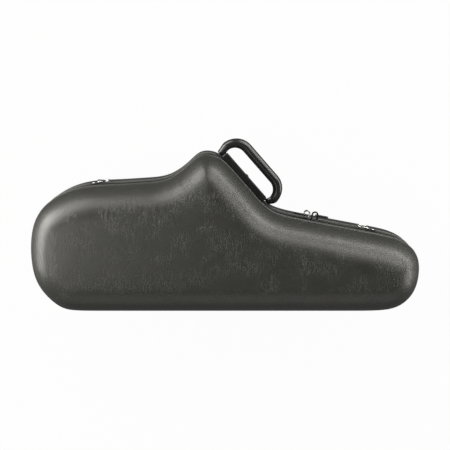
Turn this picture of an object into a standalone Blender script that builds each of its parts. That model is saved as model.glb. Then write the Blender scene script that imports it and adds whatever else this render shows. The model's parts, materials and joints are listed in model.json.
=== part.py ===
"""Shaped alto saxophone case: two moulded shells joined by a zip band and a textile hinge.

The case lies on its back, as it is opened. X runs along the case, from the bell end to the
narrow end, +Y is the side with the carrying handle, and +Z points out of the lid's face.
All lengths are in metres.
"""

import math

import bmesh
import bpy
import numpy as np
from mathutils import Matrix, Vector

# Overall size of the outline, and the depth of each half from the parting plane
LENGTH = 0.6575
WIDTH = 0.2658
REAR_DEPTH = 0.088
FRONT_DEPTH = 0.088

# Control points of the outline, clockwise from the bell end: x as a share of the length from
# the middle, y as a share of the width from the straight hinge side
OUTLINE_SHARES = [
    (-0.502, 0.305), (-0.500, 0.532), (-0.470, 0.689), (-0.381, 0.803),
    (-0.292, 0.807), (-0.210, 0.821), (-0.149, 0.830), (-0.098, 0.922),
    (-0.072, 0.995), (-0.043, 1.006), (-0.009, 0.978), (0.021, 0.896),
    (0.064, 0.775), (0.103, 0.659), (0.143, 0.611), (0.210, 0.579),
    (0.310, 0.531), (0.401, 0.489), (0.450, 0.461), (0.495, 0.389),
    (0.503, 0.271), (0.493, 0.121), (0.450, 0.018), (0.397, 0.0),
    (0.325, 0.0), (0.119, 0.0), (-0.124, 0.0), (-0.314, 0.0),
    (-0.388, 0.0), (-0.430, 0.015), (-0.485, 0.151),
]
OUTLINE_STEPS = 2
FINE_STEPS = 16

# Clearance between neighbours, and how far a cutter runs past what it cuts
GAP = 0.0003
OVERRUN = 0.010

# Shells
WALL = 0.004
SEAM_HALF = 0.022
FRONT_STRAIGHT = 0.008
FRONT_ROUND = 0.050
FRONT_CROWN = 0.004
REAR_STRAIGHT = 0.028
REAR_ROUND = 0.042
DOME_REACH = 0.040
RING_SHARES = [0.018, 0.055, 0.11, 0.18, 0.28, 0.42, 0.62, 0.84]

# The line that the domes close towards, as shares of the length and the width
SPINE_LEFT_SHARES = (-0.34, 0.40)
SPINE_RIGHT_SHARES = (0.40, 0.235)

# Piping, woven band and zip
PIPING_RADIUS = 0.0017
PIPING_PROUD = 0.0007
BAND_INSET = 0.0004
BAND_THICKNESS = 0.0018
ZIP_OPENING_HALF = 0.0075
TAPE_THICKNESS = 0.001
TAPE_LAP = 0.008
TEETH_SLOT_HALF = 0.0006
TEETH_WIDTH = 0.0029
TEETH_THICKNESS = 0.002
ZIP_FROM_SHARE = 0.92
ZIP_TO_SHARE = 0.735
STOP_LENGTH = 0.006
HINGE_GAP_HALF = 0.0008

# Liners
LINER_INSET = 0.0065
LINER_THICKNESS = 0.009
LINER_RIM = 0.008
FOAM_ROOM = 0.001

# Zip sliders and pulls
SLIDER_PLACE_SHARE = 0.2127
SLIDER_LENGTH = 0.0130
SLIDER_CLEARANCE = 0.0012
SLIDER_WIDTH = 0.0130
SLIDER_TOP = 0.0016
SLIDER_PLATE = 0.0012
SLIDER_WEB = 0.0006
BAIL_LENGTH = 0.0120
BAIL_HEIGHT = 0.0135
BAIL_WIDTH = 0.0032
BAIL_THICKNESS = 0.0016
PULL_LENGTH = 0.021
PULL_WIDTH = 0.0075
PULL_THICKNESS = 0.0030
PULL_SLOT_LENGTH = 0.0090
PULL_SLOT_WIDTH = 0.0046
PULL_PIVOT_IN = 0.0022
PULL_PIVOT_UP = (0.0040, 0.0068)

# Strap rings and their riveted plates
RING_PLACE_SHARES = (-0.3295, 0.3759)
RING_WIRE = 0.0013
RING_WIDTH = 0.022
RING_REACH = 0.0195
RING_BAR_UP = 0.0030
RING_DROP = 0.0128
PLATE_LENGTH = 0.015
PLATE_WIDTH = 0.010
PLATE_THICKNESS = 0.0012
RIVET_HEAD_RADIUS = 0.0030
RIVET_HEAD_HEIGHT = 0.0012
RIVET_SHANK_RADIUS = 0.0014
RIVET_BACK = 0.0090

# Handle: a base bar, a grip that folds on two pins, three screws and a backing plate
HANDLE_PLACE_SHARE = 0.0455
HANDLE_DROP = 0.0144
BAR_LENGTH = 0.1036
BAR_HEIGHT = 0.0099
BAR_WIDTH = 0.0152
BAR_EDGE = 0.0012
GRIP_RADIUS = 0.0086
GRIP_RISE = 0.0310
GRIP_STRAIGHT = 0.0700
FOOT_OFFSET = 0.0096
FOOT_HALF_WIDTH = 0.0086
TOE_IN = 0.0032
TOE_HALF_WIDTH = 0.0050
TOE_HALF_DEPTH = 0.0034
TOE_DROP = 0.0030
PIN_DROP = 0.0036
PIN_RADIUS = 0.0015
PIN_IN_BAR = 0.008
PIN_IN_FOOT = 0.009
SCREW_PLACES = (-0.0260, 0.0, 0.0260)
SCREW_RADIUS = 0.0019
SCREW_HEAD_RADIUS = 0.0042
SCREW_HEAD_HEIGHT = 0.0016
SCREW_DOME = 0.0012
BACKING_LENGTH = 0.068
BACKING_WIDTH = 0.013
BACKING_THICKNESS = 0.002
BACKING_DROP = 0.0040

# Foam blocks in the base: corners as shares of the length from the middle and of the width
# from the hinge side, radii and heights of the saddles, and depths below the parting plane
BLOCK_DROP = 0.022
BOW_BLOCK_SHARES = ((-0.4615, 0.112), (-0.366, 0.689))
BOW_RADIUS = 0.062
BOW_RISE = 0.021
BOW_CENTRE_SHARE = -0.292
BELL_BLOCK_SHARES = ((-0.197, 0.343), (-0.135, 0.801))
BELL_RADIUS = 0.058
BELL_AXIS_SHARE = 0.5587
BELL_AXIS_DROP = 0.0
BODY_BLOCK_SHARES = ((0.172, 0.056), (0.2185, 0.335))
BODY_RADIUS = 0.032
BODY_AXIS_SHARE = 0.2086
BODY_AXIS_DROP = 0.012
END_BLOCK_SHARES = ((0.3877, 0.056), (0.480, 0.428))
END_RADIUS = 0.022
END_SOCKET = 0.030
END_AXIS_DROP = 0.0275
BELL_STOP_SHARES = ((0.009, 0.402), (0.068, 0.402), (0.068, 0.801), (0.009, 0.931))
BELL_STOP_DROP = 0.012

# Accessory box beside the body channel, with a hinged lid
BOX_FROM_SHARE = 0.0954
BOX_TO_SHARE = 0.3415
BOX_SIDE_SHARE = 0.3427
BOX_WALL = 0.003
BOX_DEPTH = 0.036
BOX_DROP = 0.012
BOX_LID_THICKNESS = 0.0025
BOX_TAB_LENGTH = 0.016
BOX_TAB_WIDTH = 0.014
BOX_TAB_THICKNESS = 0.0012

# Strap across the body channel, in two lapped halves
STRAP_PLACE_SHARE = -0.031
STRAP_WIDTH = 0.025
STRAP_THICKNESS = 0.0016
STRAP_DROP = 0.018
STRAP_LAP = 0.030

# Pads in the lid
PAD_THICKNESS = 0.014
BODY_PAD_SHARES = ((-0.046, 0.149), (0.308, 0.343))
BELL_PAD_PLACE_SHARES = (-0.2077, 0.484)
BELL_PAD_RADIUS = 0.058

# Round detail
SIDES = 16
SMALL_SIDES = 12

PARTING_Z = REAR_DEPTH
FRONT_RISE = FRONT_DEPTH - SEAM_HALF - FRONT_STRAIGHT - FRONT_CROWN
REAR_RISE = REAR_DEPTH - SEAM_HALF - REAR_STRAIGHT
PIPING_DISTANCE = SEAM_HALF - GAP - PIPING_RADIUS
BAND_EDGE = PIPING_DISTANCE - PIPING_RADIUS - GAP
TAPE_INSET = BAND_INSET + BAND_THICKNESS + GAP
TEETH_EDGE = TEETH_SLOT_HALF + TEETH_WIDTH
TEETH_INSET = TAPE_INSET + TAPE_THICKNESS / 2 - TEETH_THICKNESS / 2
HINGE_INSET = TAPE_INSET + TAPE_THICKNESS / 2
LINER_WALL_INSET = LINER_INSET + LINER_THICKNESS
LINER_FACE_INSET = WALL + 2 * GAP
LINER_FLOOR = LINER_FACE_INSET + LINER_THICKNESS
HANDLE_Z = PARTING_Z - HANDLE_DROP
RING_Z = PARTING_Z - RING_DROP
BLOCK_TOP = PARTING_Z - BLOCK_DROP
BOX_TOP = PARTING_Z - BOX_DROP

FINISHES = {
    "shell": ((0.075, 0.078, 0.066), 0.42, 0.0),
    "piping": ((0.110, 0.112, 0.105), 0.55, 0.0),
    "band": ((0.060, 0.061, 0.060), 0.85, 0.0),
    "zip": ((0.018, 0.018, 0.019), 0.60, 0.0),
    "chrome": ((0.780, 0.790, 0.800), 0.16, 1.0),
    "grip": ((0.012, 0.012, 0.012), 0.22, 0.0),
    "bar": ((0.028, 0.028, 0.027), 0.55, 0.0),
    "plush": ((0.030, 0.030, 0.034), 0.95, 0.0),
    "webbing": ((0.020, 0.020, 0.021), 0.90, 0.0),
    "steel": ((0.300, 0.300, 0.310), 0.35, 1.0),
}


def clear_scene():
    """Remove whatever the scene holds."""
    for obj in list(bpy.data.objects):
        bpy.data.objects.remove(obj, do_unlink=True)


def new_collection(name):
    collection = bpy.data.collections.new(name)
    bpy.context.scene.collection.children.link(collection)
    return collection


def make_finish(name):
    """One plain material for each finish, made the first time that it is asked for."""
    if name in bpy.data.materials:
        return bpy.data.materials[name]
    colour, roughness, metallic = FINISHES[name]
    material = bpy.data.materials.new(name)
    material.use_nodes = True
    shader = material.node_tree.nodes["Principled BSDF"]
    shader.inputs["Base Color"].default_value = (*colour, 1.0)
    shader.inputs["Roughness"].default_value = roughness
    shader.inputs["Metallic"].default_value = metallic
    return material


def spline(controls, steps):
    """Closed uniform cubic B-spline: its points and their outward normals."""
    points, slopes = [], []
    count = len(controls)
    for i in range(count):
        a, b, c, d = (controls[(i + k) % count] for k in range(-1, 3))
        for step in range(steps):
            t = step / steps
            points.append(((1 - t) ** 3 * a + (3 * t**3 - 6 * t**2 + 4) * b
                           + (-3 * t**3 + 3 * t**2 + 3 * t + 1) * c + t**3 * d) / 6)
            slopes.append(-(1 - t) ** 2 * a + (3 * t**2 - 4 * t) * b
                          + (-3 * t**2 + 2 * t + 1) * c + t**2 * d)
    points, slopes = np.array(points), np.array(slopes)
    slopes /= np.linalg.norm(slopes, axis=1)[:, None]
    return points, np.column_stack([-slopes[:, 1], slopes[:, 0]])


def placed(shares):
    """Plan places from shares of the length and the width."""
    return np.array(shares) * (LENGTH, WIDTH)


CONTROLS = placed(OUTLINE_SHARES)
OUTLINE, NORMALS = spline(CONTROLS, OUTLINE_STEPS)
FINE_OUTLINE, FINE_NORMALS = spline(CONTROLS, FINE_STEPS)


def edge_distance(points):
    """Distance of each plan point to the outline."""
    start = FINE_OUTLINE
    run = np.roll(FINE_OUTLINE, -1, axis=0) - start
    offset = points[:, None, :] - start[None, :, :]
    share = np.clip((offset * run).sum(2) / (run * run).sum(1), 0, 1)
    return np.linalg.norm(offset - share[:, :, None] * run, axis=2).min(axis=1)


class Seat:
    """A place on the handle side of the outline: its point, direction and outward normal.

    spacing moves it on towards the narrow end, to the first place at least that far away.
    """

    def __init__(self, share, spacing=0):
        x = share * LENGTH
        upper = np.where(FINE_NORMALS[:, 1] > 0)[0]
        nearest = upper[np.argmin(np.abs(FINE_OUTLINE[upper, 0] - x))]
        if spacing:
            away = FINE_OUTLINE[upper] - FINE_OUTLINE[nearest]
            past = upper[(away[:, 0] > 0) & (np.linalg.norm(away, axis=1) >= spacing)]
            nearest = past[np.argmin(FINE_OUTLINE[past, 0])]
        self.point = FINE_OUTLINE[nearest]
        self.out = FINE_NORMALS[nearest]
        self.along = np.array([self.out[1], -self.out[0]])
        self.angle = math.atan2(self.along[1], self.along[0])

    def at(self, along, out):
        """Plan coordinates of a point given along and out from the seat."""
        return self.point + self.along * along + self.out * out

    def put(self, obj, along, out, z):
        """Place an object whose local X runs along the band and local Y out of it."""
        x, y = self.at(along, out)
        obj.location = (x, y, z)
        obj.rotation_euler = (0, 0, self.angle)
        return obj


def add_object(name, data, finish, home):
    obj = bpy.data.objects.new(name, data)
    if finish:
        data.materials.append(make_finish(finish))
    home.objects.link(obj)
    return obj


def shade(obj):
    """Smooth shading with the real edges kept sharp."""
    obj.data.shade_smooth()
    obj.data.set_sharp_from_angle(angle=math.radians(35))
    return obj


def mesh_object(name, bm, finish, home):
    mesh = bpy.data.meshes.new(name)
    bm.to_mesh(mesh)
    bm.free()
    return shade(add_object(name, mesh, finish, home))


def skin(rings, closed_loop, cap_first=False, cap_last=False):
    """A surface lofted through rings that have the same number of points."""
    bm = bmesh.new()
    rows = [[bm.verts.new(point) for point in ring] for ring in rings]
    for near, far in zip(rows, rows[1:]):
        for i in range(len(near) if closed_loop else len(near) - 1):
            j = (i + 1) % len(near)
            bm.faces.new((near[i], near[j], far[j], far[i]))
    if cap_first:
        bm.faces.new(reversed(rows[0]))
    if cap_last:
        bm.faces.new(rows[-1])
    return bm


def solidify(obj, thickness):
    """Give an open surface its wall, on the side away from its normals."""
    modifier = obj.modifiers.new("wall", "SOLIDIFY")
    modifier.thickness = thickness
    modifier.offset = -1
    modifier.use_even_offset = True
    return obj


def level(loop, z):
    return [(x, y, z) for x, y in loop]


def dome_rings(side, inset, face_inset, start):
    """Rings from the rim of one half, up its straight wall and over its rounded face.

    side is +1 for the lid and -1 for the base. start is the rim's distance from the parting.
    Surfaces of other insets are the same rings drawn in, so they nest without touching.
    """
    straight, rounding, rise, crown = (
        (FRONT_STRAIGHT, FRONT_ROUND, FRONT_RISE, FRONT_CROWN) if side > 0
        else (REAR_STRAIGHT, REAR_ROUND, REAR_RISE, 0))
    turn = SEAM_HALF + straight
    left, right = placed((SPINE_LEFT_SHARES, SPINE_RIGHT_SHARES))
    spine = left + (right - left) * (OUTLINE[:, :1] / LENGTH + 0.5)
    edge = OUTLINE - NORMALS * inset
    rings = [level(edge, PARTING_Z + side * start), level(edge, PARTING_Z + side * turn)]
    last = RING_SHARES[-1]
    for t in RING_SHARES:
        plan = (1 - t**2) * OUTLINE - 2 * t * (1 - t) * NORMALS * DOME_REACH + t**2 * spine
        slack = np.clip(1 - edge_distance(plan) / rounding, 0, 1) * (t < last)
        plan = plan - NORMALS * inset * slack[:, None]
        swell = t / last
        depth = turn + (rise - face_inset) * np.sqrt(1 - slack**2)
        depth = depth + crown * swell**2 * (3 - 2 * swell)
        rings.append([(x, y, PARTING_Z + side * z) for (x, y), z in zip(plan, depth)])
    return rings


def dome(name, side, inset, face_inset, start, thickness, finish, home):
    """A rounded half: its inner face, its rim and its outer face."""
    inner = dome_rings(side, inset + thickness, face_inset + thickness, start)
    outer = dome_rings(side, inset, face_inset, start)
    bm = skin(inner[::-1] + outer, True, True, True)
    bmesh.ops.recalc_face_normals(bm, faces=bm.faces)
    return mesh_object(name, bm, finish, home)


def cavity(name, side, home):
    """The closed shape of the room inside one liner, used to trim what lies in it."""
    rings = dome_rings(side, LINER_WALL_INSET + FOAM_ROOM, LINER_FLOOR + GAP, 0)
    bm = skin(rings, True, True, True)
    bmesh.ops.recalc_face_normals(bm, faces=bm.faces)
    return as_cutter(mesh_object(name, bm, None, home))


def as_cutter(obj):
    obj.hide_render = True
    obj.display_type = "WIRE"
    return obj


def trim(obj, cutter, operation="DIFFERENCE"):
    modifier = obj.modifiers.new("trim", "BOOLEAN")
    modifier.operation = operation
    modifier.solver = "EXACT"
    modifier.object = cutter
    return obj


def stretch(first_share, last_share, draw_in=0):
    """Points and normals of the outline between two shares of the way round.

    draw_in shortens both ends along the outline.
    """
    count = len(OUTLINE)
    first, last = round(first_share * count), round(last_share * count)
    if last < first:
        last += count
    picked = [i % count for i in range(first, last + 1)]
    line = OUTLINE[picked]
    for end, inner in ((0, 1), (-1, -2)):
        run = line[inner] - line[end]
        line[end] += run * draw_in / np.linalg.norm(run)
    return line, NORMALS[picked]


def strip(name, side, inset, thickness, near, far, finish, home, path=None):
    """A flat strip that follows the outline, from near to far of the parting plane."""
    closed_loop = path is None
    line, normals = (OUTLINE, NORMALS) if closed_loop else path
    edge = line - normals * inset
    rings = [level(edge, PARTING_Z + side * near), level(edge, PARTING_Z + side * far)]
    if side > 0:
        rings.reverse()
    return solidify(mesh_object(name, skin(rings, closed_loop), finish, home), thickness)


def tube(name, points, radius, finish, home, cyclic=False, resolution=1):
    """A round bar along a line of points."""
    curve = bpy.data.curves.new(name, "CURVE")
    curve.dimensions = "3D"
    curve.bevel_depth = radius
    curve.bevel_resolution = resolution
    curve.use_fill_caps = True
    line = curve.splines.new("POLY")
    line.points.add(len(points) - 1)
    for knot, point in zip(line.points, points):
        knot.co = (*point, 1.0)
    line.use_cyclic_u = cyclic
    return add_object(name, curve, finish, home)


def flat_outline(name, loops, thickness, finish, home):
    """A flat plate in its own XY plane, from one outer loop and any holes."""
    curve = bpy.data.curves.new(name, "CURVE")
    curve.dimensions = "2D"
    curve.fill_mode = "BOTH"
    curve.extrude = thickness / 2
    for loop in loops:
        line = curve.splines.new("POLY")
        line.points.add(len(loop) - 1)
        for knot, (x, y) in zip(line.points, loop):
            knot.co = (x, y, 0, 1)
        line.use_cyclic_u = True
    return add_object(name, curve, finish, home)


def to_mesh(obj):
    """Turn a curve object into a welded mesh, so that it can be cut or joined."""
    graph = bpy.context.evaluated_depsgraph_get()
    mesh = bpy.data.meshes.new_from_object(obj.evaluated_get(graph))
    bm = bmesh.new()
    bm.from_mesh(mesh)
    bmesh.ops.remove_doubles(bm, verts=bm.verts, dist=GAP / 10)
    bm.to_mesh(mesh)
    bm.free()
    solid = bpy.data.objects.new(obj.name + "_solid", mesh)
    solid.matrix_world = obj.matrix_world
    obj.users_collection[0].objects.link(solid)
    name = obj.name
    bpy.data.objects.remove(obj, do_unlink=True)
    solid.name = name
    return shade(solid)


def block(name, size, finish, home, edge=0, segments=2):
    """A box about its own middle, with rounded edges where edge is given."""
    bm = bmesh.new()
    bmesh.ops.create_cube(bm, size=1)
    bmesh.ops.scale(bm, vec=size, verts=bm.verts)
    if edge:
        bmesh.ops.bevel(bm, geom=bm.edges[:], offset=edge, segments=segments,
                        affect="EDGES", profile=0.5, material=-1)
    return mesh_object(name, bm, finish, home)


def rod(name, radius, length, finish, home, axis="Z", sides=SIDES, top_radius=None):
    """A cylinder or cone about its own middle."""
    bm = bmesh.new()
    bmesh.ops.create_cone(bm, cap_ends=True, segments=sides, radius1=radius,
                          radius2=radius if top_radius is None else top_radius, depth=length)
    turn = {"X": Matrix.Rotation(math.pi / 2, 3, "Y"),
            "Y": Matrix.Rotation(-math.pi / 2, 3, "X"),
            "Z": Matrix.Identity(3)}[axis]
    bmesh.ops.rotate(bm, verts=bm.verts, cent=(0, 0, 0), matrix=turn)
    return mesh_object(name, bm, finish, home)


def prism(name, corners, bottom, top, finish, home):
    """A plan outline raised from bottom to top."""
    bm = skin([level(corners, bottom), level(corners, top)], True, True, True)
    bmesh.ops.recalc_face_normals(bm, faces=bm.faces)
    return mesh_object(name, bm, finish, home)


def corners_of(low, high):
    return [(low[0], low[1]), (high[0], low[1]), (high[0], high[1]), (low[0], high[1])]


def arc(centre, radius, first, last, count):
    """Points on a circle, from one angle in degrees to another."""
    angles = np.radians(np.linspace(first, last, count))
    return [(centre[0] + radius * math.cos(a), centre[1] + radius * math.sin(a)) for a in angles]


def make_shells(model):
    for name, side in (("rear_shell", -1), ("front_shell", 1)):
        dome(name, side, 0, 0, SEAM_HALF, WALL, "shell", model)


def make_band(model):
    """Both halves of the woven band, with their piping, zip tape, teeth and hinge tape."""
    zipped = stretch(ZIP_FROM_SHARE, ZIP_TO_SHARE)
    hinged = stretch(ZIP_TO_SHARE, ZIP_FROM_SHARE, STOP_LENGTH + 2 * GAP)
    for half, side in (("rear", -1), ("front", 1)):
        strip(half + "_band", side, BAND_INSET, BAND_THICKNESS,
              ZIP_OPENING_HALF, BAND_EDGE, "band", model)
        line = OUTLINE - NORMALS * (PIPING_RADIUS - PIPING_PROUD)
        tube(half + "_piping", level(line, PARTING_Z + side * PIPING_DISTANCE),
             PIPING_RADIUS, "piping", model, cyclic=True)
        strip(half + "_zip_tape", side, TAPE_INSET, TAPE_THICKNESS, TEETH_EDGE + GAP,
              ZIP_OPENING_HALF + TAPE_LAP, "zip", model, zipped)
        strip(half + "_zip_teeth", side, TEETH_INSET, TEETH_THICKNESS, TEETH_SLOT_HALF,
              TEETH_EDGE, "zip", model, zipped)
        strip(half + "_hinge_tape", side, TAPE_INSET, TAPE_THICKNESS, HINGE_GAP_HALF,
              ZIP_OPENING_HALF + TAPE_LAP, "webbing", model, hinged)


def make_zip_stops(model):
    """Metal clamps that close the base's row of teeth at both of its ends."""
    line, normals = stretch(ZIP_FROM_SHARE, ZIP_TO_SHARE)
    for name, end, inner in (("zip_stop_bell_end", 0, 1), ("zip_stop_narrow_end", -1, -2)):
        run = line[end] - line[inner]
        run /= np.linalg.norm(run)
        middle = line[end] - normals[end] * HINGE_INSET + run * (GAP + STOP_LENGTH / 2)
        depth = TEETH_WIDTH + TEETH_SLOT_HALF - GAP
        clamp = block(name, (STOP_LENGTH, TEETH_THICKNESS, depth), "chrome", model, BAND_INSET, 1)
        clamp.location = (*middle, PARTING_Z - GAP - depth / 2)
        clamp.rotation_euler = (0, 0, math.atan2(run[1], run[0]))


def make_liners(model):
    for name, side in (("rear_liner", -1), ("front_liner", 1)):
        dome(name, side, LINER_INSET, LINER_FACE_INSET, LINER_RIM, LINER_THICKNESS,
             "plush", model)


def slider_seats():
    """Each slider's name and seat, the side where its pull lies and the pull's height.

    The two sliders meet, so the right one stands one slider and a clearance past the left.
    """
    return (("left", Seat(SLIDER_PLACE_SHARE), -1, PULL_PIVOT_UP[0]),
            ("right", Seat(SLIDER_PLACE_SHARE, SLIDER_LENGTH + SLIDER_CLEARANCE), 1, PULL_PIVOT_UP[1]))


def make_slider(name, seat, model, tools):
    """A zip slider: two plates joined by a web in the slot, and a bail on top."""
    web_top, web_bottom = TEETH_INSET - GAP, TEETH_INSET + TEETH_THICKNESS + GAP
    half, web = SLIDER_WIDTH / 2, SLIDER_WEB / 2
    section = [(-half, SLIDER_TOP), (-half, -web_top), (-web, -web_top), (-web, -web_bottom),
               (-half, -web_bottom), (-half, -web_bottom - SLIDER_PLATE),
               (half, -web_bottom - SLIDER_PLATE), (half, -web_bottom), (web, -web_bottom),
               (web, -web_top), (half, -web_top), (half, SLIDER_TOP)]
    rings = [[(end * SLIDER_LENGTH / 2, out, z) for z, out in section] for end in (-1, 1)]
    bm = skin(rings, True, True, True)
    bmesh.ops.recalc_face_normals(bm, faces=bm.faces)
    body = seat.put(mesh_object(name, bm, "chrome", model), 0, 0, PARTING_Z)

    radius = BAIL_LENGTH / 2
    straight = BAIL_HEIGHT - radius
    foot = SLIDER_TOP - PULL_THICKNESS / 2
    inner = radius - BAIL_THICKNESS
    arch = [(radius, foot)] + [(u, SLIDER_TOP + straight + v)
                               for u, v in arc((0, 0), radius, 0, 180, SMALL_SIDES)]
    arch += [(-radius, foot), (-inner, foot)]
    arch += [(u, SLIDER_TOP + straight + v) for u, v in arc((0, 0), inner, 180, 0, SMALL_SIDES)]
    arch += [(inner, foot)]
    bail = flat_outline(name + "_bail", [arch], BAIL_WIDTH, "chrome", tools)
    bail = as_cutter(to_mesh(seat.put(bail, 0, 0, PARTING_Z)))
    trim(body, bail, "UNION")


def make_pull(name, seat, side, up, model):
    """A flat pull whose root bar passes through the slider's bail; side is where it lies."""
    half, slot = PULL_WIDTH / 2, PULL_SLOT_WIDTH / 2
    root = PULL_THICKNESS / 2
    tip = PULL_LENGTH - half
    outer = [(-root, -half), (tip, -half)]
    outer += arc((tip, 0), half, -75, 75, 7)
    outer += [(tip, half), (-root, half)]
    hole = corners_of((root, -slot), (root + PULL_SLOT_LENGTH, slot))
    pull = flat_outline(name, [outer, hole], PULL_THICKNESS, "grip", model)
    x, y = seat.at(side * PULL_PIVOT_IN, SLIDER_TOP + up)
    turn = Matrix.Rotation(seat.angle + (math.pi if side < 0 else 0), 4, "Z")
    pull.matrix_world = (Matrix.Translation((x, y, PARTING_Z)) @ turn
                         @ Matrix.Rotation(math.pi / 2, 4, "X"))
    return to_mesh(pull)


def make_zip_hardware(model, tools):
    for name, seat, side, up in slider_seats():
        make_slider("zip_slider_" + name, seat, model, tools)
        make_pull("zip_pull_" + name, seat, side, up, model)


def make_strap_ring(name, share, side, model):
    """A riveted plate whose curl holds a D ring; the ring lies towards the handle."""
    seat = Seat(share)
    curl_in = RING_WIRE + GAP
    curl_out = curl_in + PLATE_THICKNESS
    base = GAP - BAND_INSET
    up = RING_BAR_UP
    back = -side * PLATE_LENGTH
    section = [(back, base), (0, base)]
    section += [(side * u, up + v) for u, v in arc((0, 0), curl_out, -90, 150, SMALL_SIDES)]
    section += [(side * u, up + v) for u, v in arc((0, 0), curl_in, 150, -90, SMALL_SIDES)]
    section += [(0, base + PLATE_THICKNESS), (back, base + PLATE_THICKNESS)]
    section = [point for i, point in enumerate(section) if point != section[i - 1]]
    plate = flat_outline("ring_plate_" + name, [section], PLATE_WIDTH, "chrome", model)
    plate = to_mesh(seat.put(plate, 0, 0, RING_Z))

    width, reach = RING_WIDTH / 2, RING_REACH
    loop = [(0, -width), (0, width)]
    loop += [(side * (reach - width) * share, width) for share in (0.5,)]
    loop += [(side * (reach - width + u), v)
             for u, v in reversed(arc((0, 0), width, -80, 80, 9))]
    loop += [(side * (reach - width) * share, -width) for share in (0.5,)]
    ring = tube("strap_ring_" + name, [(u, 0, v) for u, v in loop], RING_WIRE,
                "chrome", model, cyclic=True, resolution=2)
    seat.put(ring, 0, up, RING_Z)
    return seat, plate, side


def make_rivet(name, seat, plate, side, model, tools):
    """A domed rivet through the plate."""
    base = GAP - BAND_INSET
    top = base + PLATE_THICKNESS + GAP
    hole = rod(name + "_hole", RIVET_SHANK_RADIUS + GAP, OVERRUN, None, tools, "Y", SMALL_SIDES)
    trim(plate, as_cutter(seat.put(hole, -side * RIVET_BACK, base, RING_Z)))
    profile = [(0, top + RIVET_HEAD_HEIGHT), (RIVET_HEAD_RADIUS * 0.6, top + RIVET_HEAD_HEIGHT * 0.85),
               (RIVET_HEAD_RADIUS, top), (RIVET_SHANK_RADIUS, top), (RIVET_SHANK_RADIUS, base), (0, base)]
    rivet = turned(name, profile, SMALL_SIDES, "chrome", model)
    seat.put(rivet, -side * RIVET_BACK, 0, RING_Z)


def turned(name, profile, sides, finish, home):
    """A turned piece about local Y, from a profile of radius and height, top to bottom."""
    rows = [[(radius * math.sin(2 * math.pi * k / sides), height,
              radius * math.cos(2 * math.pi * k / sides)) for k in range(sides)]
            for radius, height in profile if radius > 0]
    bm = skin(rows, True, True, True)
    bmesh.ops.recalc_face_normals(bm, faces=bm.faces)
    return mesh_object(name, bm, finish, home)


def make_strap_rings(model, tools):
    for name, x, side in (("left", RING_PLACE_SHARES[0], 1), ("right", RING_PLACE_SHARES[1], -1)):
        seat, plate, side = make_strap_ring(name, x, side, model)
        make_rivet("ring_rivet_" + name, seat, plate, side, model, tools)


def grip_sections():
    """Middle, direction, half width and half depth of the grip's sections, one half of it."""
    foot_u = BAR_LENGTH / 2 + FOOT_OFFSET
    straight = GRIP_STRAIGHT / 2
    bend_u, bend_n = foot_u - straight, GRIP_RISE - GRIP_RADIUS / 2
    axis_n = -PIN_DROP
    rows = [((0, GRIP_RISE), (1, 0), GRIP_RADIUS, GRIP_RADIUS),
            ((straight, GRIP_RISE), (1, 0), GRIP_RADIUS, GRIP_RADIUS)]
    for angle in (22, 45, 66, 84):
        a = math.radians(angle)
        middle = (straight + bend_u * math.sin(a), GRIP_RISE - bend_n * (1 - math.cos(a)))
        run = (bend_u * math.cos(a), -bend_n * math.sin(a))
        size = math.hypot(*run)
        slim = GRIP_RADIUS - (GRIP_RADIUS - TOE_HALF_DEPTH * 1.5) * max(0, angle - 22) / 62
        rows.append((middle, (run[0] / size, run[1] / size), FOOT_HALF_WIDTH, slim))
    toe_u = foot_u - TOE_IN
    rows.append(((toe_u, axis_n), (0, -1), TOE_HALF_WIDTH, TOE_HALF_DEPTH))
    rows.append(((toe_u - TOE_IN / 3, axis_n - TOE_DROP), (0, -1),
                 TOE_HALF_WIDTH * 0.6, TOE_HALF_DEPTH * 0.5))
    return rows


def section_ring(middle, run, half_width, half_depth):
    """An oval across the grip's direction; local X is along the bar and local Y is out."""
    across = (-run[1], run[0])
    ring = []
    for k in range(SMALL_SIDES):
        a = 2 * math.pi * k / SMALL_SIDES
        w, d = half_width * math.cos(a), half_depth * math.sin(a)
        ring.append((middle[0] + across[0] * w, middle[1] + across[1] * w, d))
    return ring


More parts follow.
